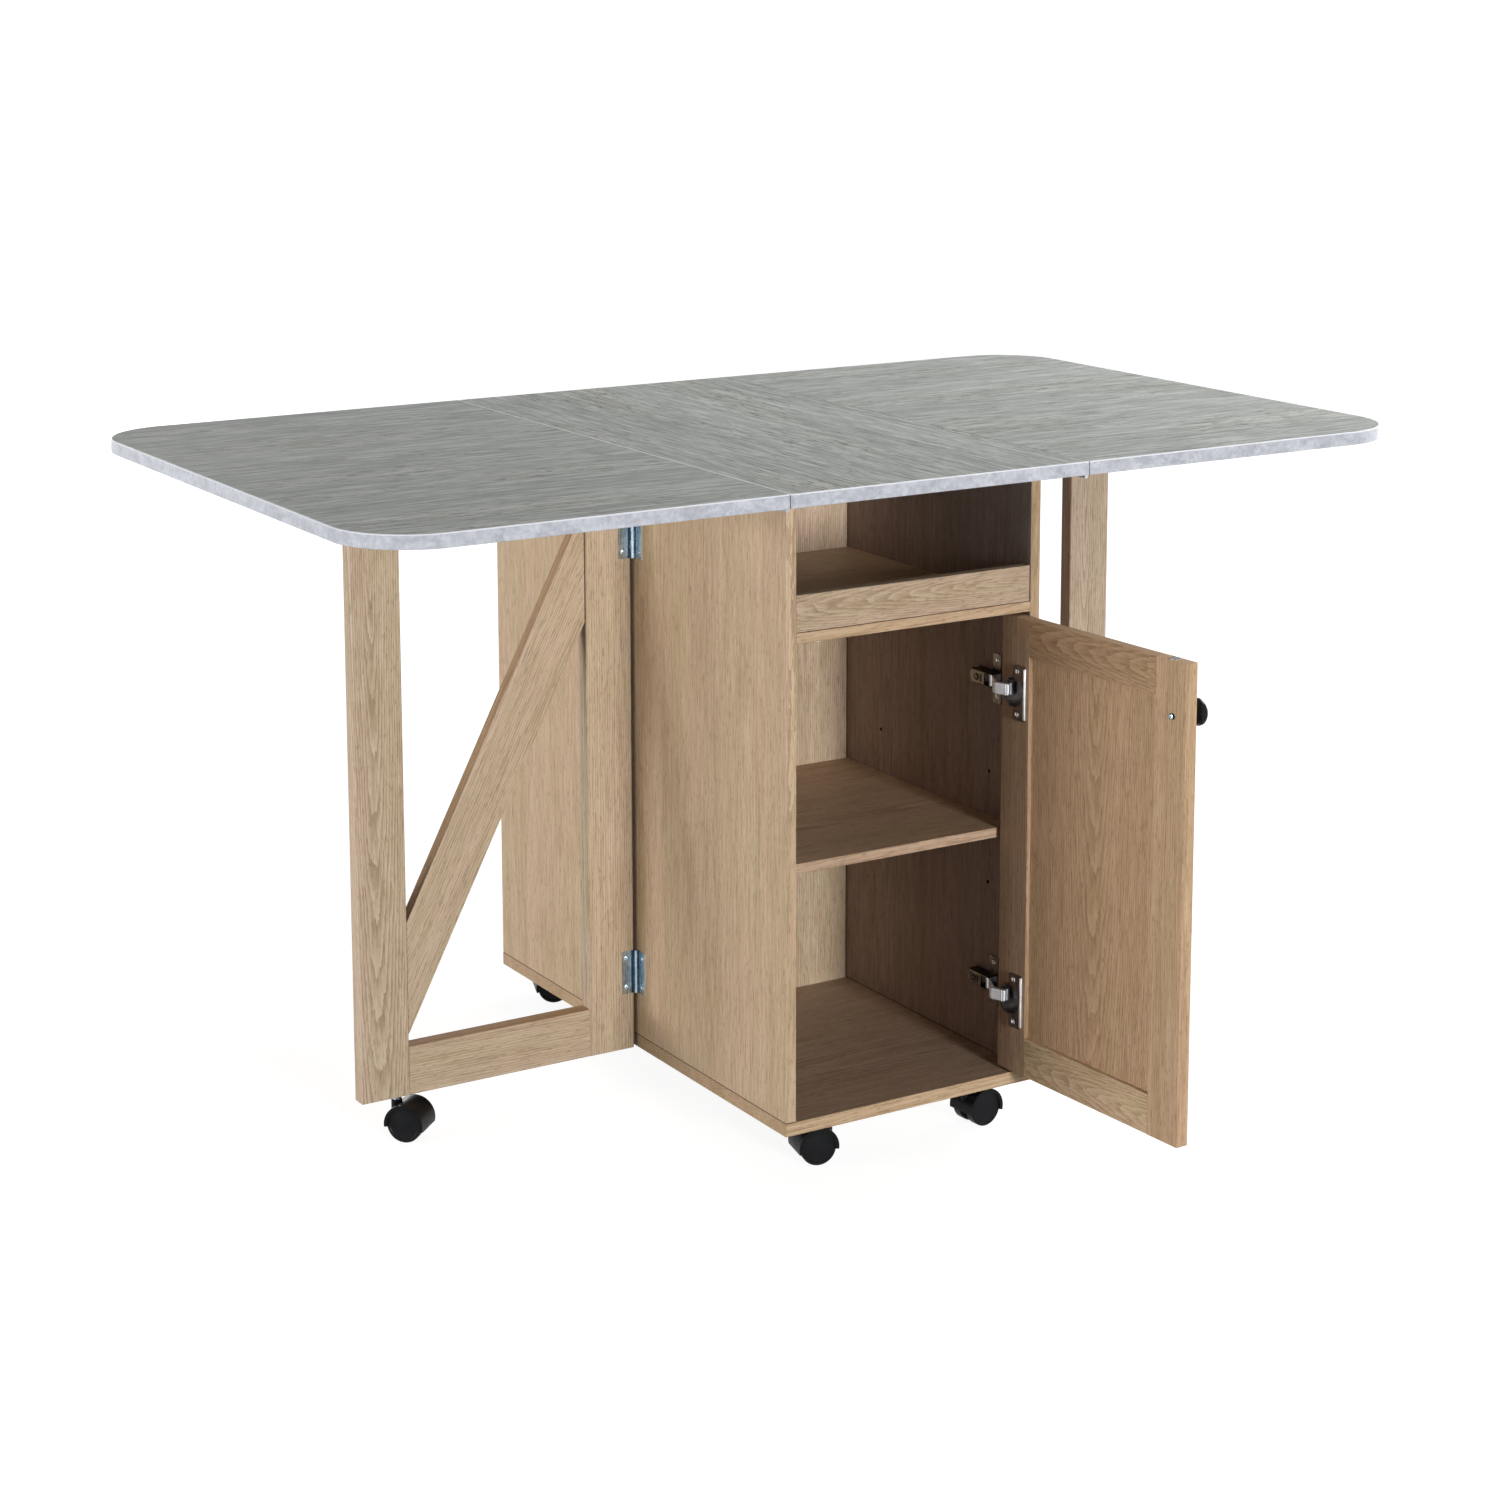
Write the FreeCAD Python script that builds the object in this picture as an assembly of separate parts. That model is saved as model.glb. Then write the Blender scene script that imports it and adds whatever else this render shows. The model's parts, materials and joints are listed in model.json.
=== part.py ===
import FreeCAD, Part

import math
import os

Vector = FreeCAD.Vector

# Drop-leaf gate-leg kitchen table on castors, with a storage cabinet under its
# fixed centre panel. Millimetres. While the pieces are drawn, x runs along the
# table, -y is the side with the door, z is up from the floor, and x = y = 0 is
# the middle of the cabinet. The left half is drawn and mirrored to the right.

# ---- driving dimensions ----------------------------------------------------

# Top: one fixed centre panel and two leaves, with an edge band all round.
table_height = 750.0
top_length = 1300.0
top_depth = 760.0
top_thickness = 15.0
top_corner_radius = 85.0
seam_gap = 1.0
band_thickness = 1.5
band_edge_round = 0.8

# Cabinet carcass.
cabinet_width = 324.0
cabinet_depth = 660.0
board = 12.5
bottom_thickness = 14.5
shelf_thickness = 11.0
board_ease = 0.4
front_compartment_depth = 360.0
niche_height = 142.5
lip_height = 40.0
shelf_setback = 27.0
shelf_side_gap = 0.5
rear_shelf_setback = 10.0

# Shelf pins in rows of holes, on the 32 mm system.
pin_diameter = 5.0
pin_hole_depth = 8.0
pin_reach = 8.0
pin_edge_distance = 72.0
pin_row_height = 260.0
pin_pitch = 64.0
pin_rows_each_way = 1

# Gate legs.
leg_pocket = 26.5
leg_cabinet_gap = 4.5
leg_width = 339.0
leg_thickness = 19.0
post_width = 57.0
leg_rail_height = 55.5
brace_width = 58.0
brace_thickness = 15.0
brace_low_height = 133.0
brace_top_distance = 110.0
leg_ease = 0.8
leg_top_gap = 6.0
rest_pad_length = 44.0
rest_pad_width = 30.0
rest_gap = 0.3

# Butt hinges of the gate legs.
butt_height = 50.0
butt_plate_width = 17.0
butt_plate_thickness = 1.2
butt_barrel_diameter = 4.5
butt_pin_diameter = 2.4
butt_knuckles = 5
butt_low_height = 66.0
butt_top_distance = 59.5
butt_screw_inset = 8.0
butt_screw_from_edge = 5.5

# Continuous hinges under the two seams.
strip_end_distance = 5.0
strip_plate_width = 18.0
strip_plate_thickness = 1.0
strip_barrel_diameter = 4.4
strip_pin_diameter = 2.4
strip_knuckles = 9

# Clearances of every hinge.
face_gap = 0.3
knuckle_gap = 0.3
pin_clearance = 0.05

# Door: frame and panel, inset in the cabinet front.
door_gap = 3.0
door_thickness = 15.0
door_stile_width = 46.0
door_top_rail_width = 40.0
door_bottom_rail_width = 44.0
door_panel_thickness = 5.0
door_groove_depth = 7.0
door_groove_play = 1.0
door_open_angle = 93.1

# Concealed cup hinges.
pivot_from_edge = 11.8
pivot_from_inner_face = 6.75
cup_diameter = 35.0
cup_depth = 11.0
cup_wall = 1.2
cup_centre_from_edge = 22.5
cup_end_distance = 83.0
cup_rim_diameter = 37.0
cup_rim_thickness = 2.4
cup_corner_radius = 3.0
cup_ear_length = 61.0
cup_flange_past_centre = 1.5
cup_screw_spacing = 48.0
cup_screw_offset = 6.0
cup_notch_height = 15.0
cup_notch_depth = 4.0
arm_pivot_from_front = 54.0
arm_pivot_from_panel = 10.5
arm_height = 16.5
arm_depth = 13.0
arm_wall = 1.4
arm_length = 33.0
arm_nose = 4.5
arm_corner_radius = 2.0
arm_window_length = 9.0
arm_window_play = 0.5
arm_slot_from_end = 18.0
arm_slot_width = 3.2
arm_slot_height = 8.5
link_height = 12.5
link_thickness = 1.8
link_pin_diameter = 3.0
link_radius_at_door = 3.0
link_edge_clearance = 1.2
link_elbow_back = 6.0
link_elbow_front = 8.3
link_toe_diameter = 2.8
link_eye_radius = 3.2
plate_thickness = 2.0
plate_width = 16.0
plate_wing_span = 56.0
plate_wing_width = 15.0
plate_from_front = 49.0
plate_length = 45.0
plate_screw_spacing = 41.0
rib_width = 9.0
adjust_screw_diameter = 6.5
adjust_screw_proud = 1.0
adjust_screw_from_end = 10.0

# Knob and catch.
knob_from_free_edge = 20.0
knob_below_door_top = 58.0
knob_diameter = 29.0
knob_projection = 25.0
knob_foot_diameter = 15.0
knob_foot_height = 2.0
knob_neck_diameter = 11.0
knob_neck_length = 4.0
knob_head_height = 9.5
knob_rim_height = 2.0
knob_shoulder_width = 2.0
knob_shoulder_height = 2.5
knob_brow_width = 2.5
knob_brow_height = 3.0
knob_crown = 0.5
knob_screw_diameter = 4.0
knob_screw_grip = 10.0
knob_screw_head = 6.8
knob_screw_head_height = 2.0
strike_from_free_edge = 26.0
strike_diameter = 12.0
strike_depth = 3.0
strike_proud = 0.7
catch_diameter = 9.0
catch_depth = 9.0
catch_proud = 1.4
bumper_diameter = 7.0
bumper_thickness = 1.8
bumper_height = 113.5

# Castors: twin wheels under a hood, trailing behind the swivel pin.
castor_height = 48.0
castor_inset_x = 70.0
castor_inset_y = 29.0
leg_castor_from_edge = 45.0
wheel_diameter = 40.0
wheel_width = 12.0
wheel_bevel = 1.2
wheel_dish = 0.8
wheel_dish_rim = 3.0
wheel_dish_slope = 1.0
castor_trail = 15.0
web_thickness = 9.0
wheel_side_gap = 0.5
hood_gap = 1.2
hood_wall = 1.6
hood_lip = 2.8
hood_lip_thickness = 1.2
hood_stem_side_angle = 8.0
hood_free_side_angle = 14.0
boss_diameter = 12.0
boss_foot = 18.0
boss_top_gap = 4.6
swivel_pin_diameter = 6.0
swivel_pin_depth = 14.0
swivel_bore_extra = 1.0
axle_diameter = 6.0
axle_grip = 8.0
castor_plate_size = 38.0
castor_plate_thickness = 2.5
castor_plate_hole_spacing = 28.0
castor_neck_diameter = 20.0
stem_collar_diameter = 10.5
stem_diameter = 8.0
stem_grip = 32.0

# Direction in which each castor trails, in degrees about z from +x.
castor_directions = {
    "front_left": 167.0,
    "front_right": 5.0,
    "rear_left": 160.0,
    "rear_right": 70.0,
    "left_leg": 312.0,
    "right_leg": 255.0,
}

# Countersunk wood screws.
screw_head_diameter = 6.4
screw_head_depth = 1.8
screw_shank_diameter = 3.2
screw_length = 10.0

# ---- places worked out from the dimensions ---------------------------------

underside = table_height - top_thickness
floor_top = castor_height + bottom_thickness
half_width = cabinet_width / 2
half_depth = cabinet_depth / 2
inner_half = half_width - board
front = -half_depth
seam_x = half_width + leg_pocket

partition_front = front + front_compartment_depth
partition_back = partition_front + board
niche_floor = underside - niche_height
niche_underside = niche_floor - shelf_thickness
pin_z = floor_top + pin_row_height
shelf_underside = pin_z + pin_diameter / 2

leg_inner = half_width + leg_cabinet_gap
leg_outer = leg_inner + leg_width
leg_post_x = leg_outer - post_width / 2
leg_castor_x = leg_outer - leg_castor_from_edge
leg_front = -leg_thickness / 2
leg_top = underside - leg_top_gap

butt_radius = butt_barrel_diameter / 2
butt_axis_x = half_width + face_gap + butt_radius
butt_axis_y = leg_front - face_gap - butt_radius

strip_radius = strip_barrel_diameter / 2
strip_axis_z = underside - face_gap - strip_radius
strip_half_length = top_depth / 2 - strip_end_distance

door_hinge_x = inner_half - door_gap
door_width = 2 * (inner_half - door_gap)
door_bottom = floor_top + door_gap
door_top = niche_underside - door_gap
door_inner_y = front + door_thickness
pivot_x = door_hinge_x - pivot_from_edge
pivot_y = door_inner_y - pivot_from_inner_face
cup_heights = (door_bottom + cup_end_distance, door_top - cup_end_distance)

wheel_radius = wheel_diameter / 2
hood_inner = wheel_radius + hood_gap
hood_outer = hood_inner + hood_wall
boss_top = castor_height - boss_top_gap

X_AXIS = Vector(1, 0, 0)
Y_AXIS = Vector(0, 1, 0)
Z_AXIS = Vector(0, 0, 1)


# ---- building blocks --------------------------------------------------------

def box(x0, x1, y0, y1, z0, z1):
    """Box between two corners."""
    return Part.makeBox(x1 - x0, y1 - y0, z1 - z0, Vector(x0, y0, z0))


def rod(start, direction, diameter, length):
    """Round bar from a point along a direction."""
    return Part.makeCylinder(diameter / 2, length, start, direction)


def prism(points, sweep):
    """Flat polygon pushed along a vector."""
    face = Part.Face(Part.makePolygon(points + [points[0]]))
    return face.extrude(sweep)


def eased_outline(a0, a1, b0, b1, ease):
    """Corner pairs of a rectangle with its four corners cut by ease."""
    return [
        (a0 + ease, b0), (a1 - ease, b0), (a1, b0 + ease), (a1, b1 - ease),
        (a1 - ease, b1), (a0 + ease, b1), (a0, b1 - ease), (a0, b0 + ease),
    ]


def eased_board(x0, x1, y0, y1, z0, z1, grain, ease=board_ease):
    """Board whose four long edges, along the grain axis, are lightly broken."""
    if grain == "x":
        points = [Vector(x0, a, b) for a, b in eased_outline(y0, y1, z0, z1, ease)]
        return prism(points, Vector(x1 - x0, 0, 0))
    if grain == "y":
        points = [Vector(a, y0, b) for a, b in eased_outline(x0, x1, z0, z1, ease)]
        return prism(points, Vector(0, y1 - y0, 0))
    points = [Vector(a, b, z0) for a, b in eased_outline(x0, x1, y0, y1, ease)]
    return prism(points, Vector(0, 0, z1 - z0))


def mirrored(shape):
    """The same piece on the other side of the table."""
    return shape.mirror(Vector(0, 0, 0), X_AXIS)


def turned(shape, angle, centre):
    """Copy turned about a vertical axis through centre."""
    copy = shape.copy()
    copy.rotate(centre, Z_AXIS, angle)
    return copy


def revolved(profile, axis_point, axis):
    """Solid of revolution of a closed outline of points."""
    face = Part.Face(Part.makePolygon(profile + [profile[0]]))
    return face.revolve(axis_point, axis, 360)


def wood_screw(seat, direction, length=screw_length):
    """Countersunk screw; seat is the centre of its flat head, driven along direction."""
    head = Part.makeCone(
        screw_head_diameter / 2, screw_shank_diameter / 2, screw_head_depth, seat, direction)
    shank = rod(seat, direction, screw_shank_diameter, length)
    return head.fuse(shank).removeSplitter()


def group(shapes):
    """Separate solids kept in one node."""
    return Part.makeCompound(shapes)


# ---- cabinet carcass -------------------------------------------------------

def pin_places():
    """Shelf pin positions (y) in the front and in the rear compartments."""
    front_places = [front + pin_edge_distance, partition_front - pin_edge_distance]
    rear_places = [partition_back + pin_edge_distance, half_depth - pin_edge_distance]
    return front_places + rear_places


def shelf_pins():
    """Eight pins; half of each sits in a side panel and half under a shelf."""
    pins = []
    for y in pin_places():
        for side in (-1, 1):
            start = Vector(side * (inner_half + pin_hole_depth), y, pin_z)
            pins.append(rod(start, Vector(-side, 0, 0), pin_diameter, pin_hole_depth + pin_reach))
    return group(pins)


def left_side_panel():
    """Side panel with its rows of shelf pin holes on the inner face."""
    panel = eased_board(-half_width, -inner_half, front, half_depth, floor_top, underside, "z")
    start_x = -inner_half - pin_hole_depth
    for y in pin_places():
        for row in range(-pin_rows_each_way, pin_rows_each_way + 1):
            start = Vector(start_x, y, pin_z + row * pin_pitch)
            panel = panel.cut(rod(start, X_AXIS, pin_diameter, pin_hole_depth))
    return panel


def carcass():
    """Boards of the cabinet."""
    catch_bore = rod(catch_seat(), Z_AXIS, catch_diameter, catch_depth)
    niche_shelf = eased_board(
        -inner_half, inner_half, front, partition_front, niche_underside, niche_floor, "x")
    shelf_half = inner_half - shelf_side_gap
    return {
        "bottom_board": eased_board(
            -half_width, half_width, front, half_depth, castor_height, floor_top, "x"),
        "left_side_panel": left_side_panel(),
        "right_side_panel": mirrored(left_side_panel()),
        "centre_partition": box(
            -inner_half, inner_half, partition_front, partition_back, floor_top, underside),
        "niche_shelf": niche_shelf.cut(catch_bore),
        "niche_lip_rail": eased_board(
            -inner_half, inner_half, front, front + board,
            niche_floor, niche_floor + lip_height, "x"),
        "front_middle_shelf": eased_board(
            -shelf_half, shelf_half, front + shelf_setback, partition_front,
            shelf_underside, shelf_underside + shelf_thickness, "x"),
        "rear_upper_shelf": eased_board(
            -inner_half, inner_half, partition_back, half_depth - rear_shelf_setback,
            niche_underside, niche_floor, "x"),
        "rear_middle_shelf": eased_board(
            -shelf_half, shelf_half, partition_back, half_depth - rear_shelf_setback,
            shelf_underside, shelf_underside + shelf_thickness, "x"),
        "shelf_pins": shelf_pins(),
    }


# ---- top -------------------------------------------------------------------

def leaf_outline(inset):
    """Face of the left leaf, square at the seam and rounded at its outer corners."""
    x_seam = -seam_x - seam_gap / 2
    x_out = -top_length / 2 + inset
    y_out = top_depth / 2 - inset
    radius = top_corner_radius - inset
    bend = radius * (1 - math.cos(math.pi / 4))
    bottom_a = Vector(x_seam, -y_out, underside)
    bottom_b = Vector(x_out + radius, -y_out, underside)
    bottom_mid = Vector(x_out + bend, -y_out + bend, underside)
    side_a = Vector(x_out, -y_out + radius, underside)
    side_b = Vector(x_out, y_out - radius, underside)
    top_mid = Vector(x_out + bend, y_out - bend, underside)
    top_b = Vector(x_out + radius, y_out, underside)
    top_a = Vector(x_seam, y_out, underside)
    edges = [
        Part.makeLine(bottom_a, bottom_b),
        Part.Arc(bottom_b, bottom_mid, side_a).toShape(),
        Part.makeLine(side_a, side_b),
        Part.Arc(side_b, top_mid, top_b).toShape(),
        Part.makeLine(top_b, top_a),
        Part.makeLine(top_a, bottom_a),
    ]
    return Part.Face(Part.Wire(edges))


def left_leaf_band():
    """Edge band that wraps the three free edges of the left leaf."""
    rise = Vector(0, 0, top_thickness)
    outside = leaf_outline(0).extrude(rise)
    outer_edges = [
        edge for edge in outside.Edges
        if edge.BoundBox.ZLength < seam_gap and not lies_on_seam(edge)
    ]
    outside = outside.makeFillet(band_edge_round, outer_edges)
    return outside.cut(leaf_outline(band_thickness).extrude(rise))


def lies_on_seam(edge):
    """True for an edge along the seam side of the left leaf."""
    return edge.BoundBox.XMin > -seam_x - seam_gap


def centre_top():
    """Fixed centre panel and the two bands on its ends."""
    half = seam_x - seam_gap / 2
    y_core = top_depth / 2 - band_thickness
    y_out = top_depth / 2
    bands = []
    for side in (-1, 1):
        y0, y1 = sorted((side * y_core, side * y_out))
        band = box(-half, half, y0, y1, underside, table_height)
        outer_edges = [
            edge for edge in band.Edges
            if edge.BoundBox.XLength > half and abs(edge.CenterOfMass.y) > y_core + face_gap
        ]
        bands.append(band.makeFillet(band_edge_round, outer_edges))
    return {
        "centre_top_panel": box(-half, half, -y_core, y_core, underside, table_height),
        "centre_top_edge_bands": group(bands),
    }


def strip_barrel(first):
    """Every second knuckle of a seam hinge."""
    pitch = 2 * strip_half_length / strip_knuckles
    knuckles = []
    for number in range(first, strip_knuckles, 2):
        start = Vector(-seam_x, -strip_half_length + number * pitch + knuckle_gap / 2, strip_axis_z)
        knuckles.append(rod(start, Y_AXIS, strip_barrel_diameter, pitch - knuckle_gap))
    return knuckles


def strip_plate(x_far, first):
    """Flat wing of a seam hinge, with its knuckles, cut clear of the other wing's."""
    x0, x1 = sorted((x_far, -seam_x))
    z0 = underside - strip_plate_thickness
    wing = box(x0, x1, -strip_half_length, strip_half_length, z0, underside)
    own = strip_barrel(first)
    wing = wing.fuse(own)
    pitch = 2 * strip_half_length / strip_knuckles
    for number in range(1 - first, strip_knuckles, 2):
        y0 = -strip_half_length + number * pitch - knuckle_gap / 2
        room = box(
            -seam_x - strip_radius - face_gap, -seam_x + strip_radius + face_gap,
            y0, y0 + pitch + knuckle_gap, z0 - strip_barrel_diameter, underside)
        wing = wing.cut(room)
    bore_start = Vector(-seam_x, -strip_half_length, strip_axis_z)
    if first == 1:
        bore_size = strip_pin_diameter + 2 * pin_clearance
        beyond = box(-seam_x, x1 + strip_radius, -top_depth, top_depth, strip_axis_z, underside)
    else:
        bore_size = strip_pin_diameter
        beyond = box(x0 - strip_radius, -seam_x, -top_depth, top_depth, strip_axis_z, underside)
    wing = wing.cut(beyond.cut(group(own)))
    return wing.cut(rod(bore_start, Y_AXIS, bore_size, 2 * strip_half_length))


def left_seam_fixed_pieces():
    """Fixed wing and pin of the continuous hinge under the left seam."""
    pin_start = Vector(-seam_x, -strip_half_length, strip_axis_z)
    pin = rod(pin_start, Y_AXIS, strip_pin_diameter, 2 * strip_half_length)
    return strip_plate(-seam_x + strip_plate_width, 0), pin


def left_leaf():
    """Left leaf with its band, hinge wing and rest pad."""
    core = leaf_outline(band_thickness).extrude(Vector(0, 0, top_thickness))
    pad = eased_board(
        -leg_post_x - rest_pad_length / 2, -leg_post_x + rest_pad_length / 2,
        -rest_pad_width / 2, rest_pad_width / 2, leg_top + rest_gap, underside, "x")
    return {
        "leaf_panel": core,
        "leaf_edge_band": left_leaf_band(),
        "leaf_hinge_wing": strip_plate(-seam_x - strip_plate_width, 1),
        "leaf_rest_pad": pad,
    }


# ---- gate legs -------------------------------------------------------------

def butt_screw_seats(low):
    """Heads of the two screws of one butt hinge: on the leg and on the cabinet."""
    seats = []
    for z in (low + butt_screw_inset, low + butt_height - butt_screw_inset):
        on_leg = Vector(
            -butt_axis_x - butt_plate_width + butt_screw_from_edge,
            leg_front - butt_plate_thickness, z)
        on_cabinet = Vector(
            -half_width - butt_plate_thickness,
            butt_axis_y - butt_plate_width + butt_screw_from_edge, z)
        seats.append((on_leg, on_cabinet))
    return seats


def butt_wing(low, on_leg):
    """One wing of a butt hinge with its knuckles and countersunk holes."""
    axis_foot = Vector(-butt_axis_x, butt_axis_y, low)
    if on_leg:
        wing = box(
            -butt_axis_x - butt_plate_width, -butt_axis_x,
            leg_front - butt_plate_thickness, leg_front, low, low + butt_height)
    else:
        wing = box(
            -half_width - butt_plate_thickness, -half_width,
            butt_axis_y - butt_plate_width, butt_axis_y, low, low + butt_height)
    pitch = butt_height / butt_knuckles
    first = 1 if on_leg else 0
    for number in range(butt_knuckles):
        z0 = low + number * pitch
        if number % 2 == first:
            start = Vector(-butt_axis_x, butt_axis_y, z0 + knuckle_gap / 2)
            wing = wing.fuse(rod(start, Z_AXIS, butt_barrel_diameter, pitch - knuckle_gap))
        else:
            start = Vector(-butt_axis_x, butt_axis_y, z0 - knuckle_gap / 2)
            room = rod(start, Z_AXIS, butt_barrel_diameter + 2 * face_gap, pitch + knuckle_gap)
            wing = wing.cut(room)
    bore = butt_pin_diameter + (2 * pin_clearance if on_leg else 0)
    wing = wing.cut(rod(axis_foot, Z_AXIS, bore, butt_height))
    for on_leg_seat, on_cabinet_seat in butt_screw_seats(low):
        if on_leg:
            wing = wing.cut(wood_screw(on_leg_seat, Y_AXIS))
        else:
            wing = wing.cut(wood_screw(on_cabinet_seat, X_AXIS))
    return wing


def butt_lows():
    """Lower ends (z) of the two butt hinges of a leg."""
    return (castor_height + butt_low_height, leg_top - butt_top_distance - butt_height)


def left_leg():
    """Left gate leg: two posts, rail, brace, hinge wings with screws, castor stem."""
    brace_half = brace_width / 2 / math.cos(brace_slope())
    low_z, high_z = brace_ends()
    brace_low_x = -leg_outer + post_width
    brace_high_x = -leg_inner - post_width
    brace = prism([
        Vector(brace_low_x, leg_front, low_z - brace_half),
        Vector(brace_high_x, leg_front, high_z - brace_half),
        Vector(brace_high_x, leg_front, high_z + brace_half),
        Vector(brace_low_x, leg_front, low_z + brace_half),
    ], Vector(0, brace_thickness, 0))
    outer_post = eased_board(
        -leg_outer, -leg_outer + post_width, leg_front, -leg_front,
        castor_height, leg_top, "z", leg_ease)
    inner_post = eased_board(
        -leg_inner - post_width, -leg_inner, leg_front, -leg_front,
        castor_height, leg_top, "z", leg_ease)
    rail = eased_board(
        -leg_outer + post_width, -leg_inner - post_width, leg_front, -leg_front,
        castor_height, castor_height + leg_rail_height, "x", leg_ease)
    wings = []
    for low in butt_lows():
        wings.append(butt_wing(low, True))
        for on_leg_seat, on_cabinet_seat in butt_screw_seats(low):
            screw = wood_screw(on_leg_seat, Y_AXIS)
            wings.append(screw)
            inner_post = inner_post.cut(screw)
    stem = leg_castor_stem()
    return {
        "leg_outer_post": outer_post.cut(stem),
        "leg_inner_post": inner_post,
        "leg_bottom_rail": rail,
        "leg_brace": brace,
        "leg_hinge_wings": group(wings),
        "leg_castor_stem": stem,
    }


def brace_ends():
    """Heights (z) at which the brace's middle line meets the outer and the inner post."""
    return castor_height + brace_low_height, leg_top - brace_top_distance


def brace_slope():
    """Angle of the brace above the horizontal."""
    low_z, high_z = brace_ends()
    return math.atan2(high_z - low_z, leg_width - 2 * post_width)


def cabinet_side_wings():
    """Wings and pins of the butt hinges that stay on the left cabinet side."""
    pieces = []
    for low in butt_lows():
        pieces.append(butt_wing(low, False))
        pieces.append(rod(Vector(-butt_axis_x, butt_axis_y, low), Z_AXIS,
                          butt_pin_diameter, butt_height))
    return pieces


def left_side_screws():
    """Screws of the butt hinges in the left side panel."""
    screws = []
    for low in butt_lows():
        for on_leg_seat, on_cabinet_seat in butt_screw_seats(low):
            screws.append(wood_screw(on_cabinet_seat, X_AXIS))
    return screws


# ---- door, drawn closed and then turned open -------------------------------

def door_box(s0, s1, d0, d1, z0, z1):
    """Box on the closed door: s from the hinge edge, d from the inner face outward."""
    return box(door_hinge_x - s1, door_hinge_x - s0, door_inner_y - d1, door_inner_y - d0, z0, z1)


def door_member(s0, s1, z0, z1, grain):
    """Stile or rail of the door frame."""
    return eased_board(
        door_hinge_x - s1, door_hinge_x - s0, front, door_inner_y, z0, z1, grain, board_ease)


def cup_centre(z):
    """Centre of a hinge cup on the inner face of the closed door."""
    return Vector(door_hinge_x - cup_centre_from_edge, door_inner_y, z)


def cup_screw_places(z):
    """Screw places of a hinge cup."""
    x = door_hinge_x - cup_centre_from_edge - cup_screw_offset
    return [Vector(x, door_inner_y + cup_rim_thickness, z + side * cup_screw_spacing / 2)
            for side in (-1, 1)]


def hinge_cup(z):
    """Pressed cup with a rim and a screwed flange, and a notch where the link comes out."""
    centre = cup_centre(z)
    rim_top = centre + Vector(0, cup_rim_thickness, 0)
    inward = -Y_AXIS
    rim = rod(rim_top, inward, cup_rim_diameter, cup_rim_thickness)
    flange = box(
        centre.x - cup_rim_diameter / 2, centre.x + cup_flange_past_centre,
        door_inner_y, door_inner_y + cup_rim_thickness,
        z - cup_ear_length / 2, z + cup_ear_length / 2)
    flange_corners = [edge for edge in flange.Edges if edge.BoundBox.YLength > face_gap]
    flange = flange.makeFillet(cup_corner_radius, flange_corners)
    shell = rod(centre, inward, cup_diameter, cup_depth)
    cup = rim.fuse([flange, shell]).removeSplitter()
    hollow_depth = cup_rim_thickness + cup_depth - cup_wall
    cup = cup.cut(rod(rim_top, inward, cup_diameter - 2 * cup_wall, hollow_depth))
    notch = box(
        centre.x, door_hinge_x, door_inner_y - cup_notch_depth,
        door_inner_y + cup_rim_thickness,
        z - cup_notch_height / 2, z + cup_notch_height / 2)
    cup = cup.cut(notch)
    for seat in cup_screw_places(z):
        cup = cup.cut(wood_screw(seat, inward))
    return cup


def knob_place():
    """Foot of the knob on the outer face of the closed door."""
    return Vector(
        door_hinge_x - door_width + knob_from_free_edge, front, door_top - knob_below_door_top)


def door_knob():
    """Turned mushroom knob on a straight screw, with the screw's head inside."""
    foot = knob_place()
    head_radius = knob_diameter / 2
    shoulder = knob_projection - knob_head_height
    rim = shoulder + knob_shoulder_height
    brow = rim + knob_rim_height + knob_brow_height
    profile = [
        (0, 0),
        (knob_foot_diameter / 2, 0),
        (knob_foot_diameter / 2, knob_foot_height),
        (knob_neck_diameter / 2, knob_foot_height + knob_neck_length),
        (knob_neck_diameter / 2, knob_foot_height + 2 * knob_neck_length),
        (head_radius - knob_shoulder_width, shoulder),
        (head_radius, rim),
        (head_radius, rim + knob_rim_height),
        (head_radius - knob_brow_width, brow),
        (head_radius / 2, knob_projection - knob_crown),
        (0, knob_projection),
    ]
    points = [foot + Vector(radius, -out, 0) for radius, out in profile]
    knob = revolved(points, foot, Y_AXIS)
    screw_start = foot + Vector(0, door_thickness, 0)
    shank = rod(screw_start, -Y_AXIS, knob_screw_diameter, door_thickness + knob_screw_grip)
    head = rod(screw_start, Y_AXIS, knob_screw_head, knob_screw_head_height)
    return knob.cut(shank), shank.fuse(head)


def strike_seat():
    """Underside centre of the strike disc in the top edge of the closed door."""
    return Vector(
        door_hinge_x - door_width + strike_from_free_edge,
        front + door_thickness / 2, door_top - strike_depth)


def catch_seat():
    """Bottom of the bore for the magnetic catch in the niche shelf."""
    return Vector(strike_seat().x, strike_seat().y, niche_underside)


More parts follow.
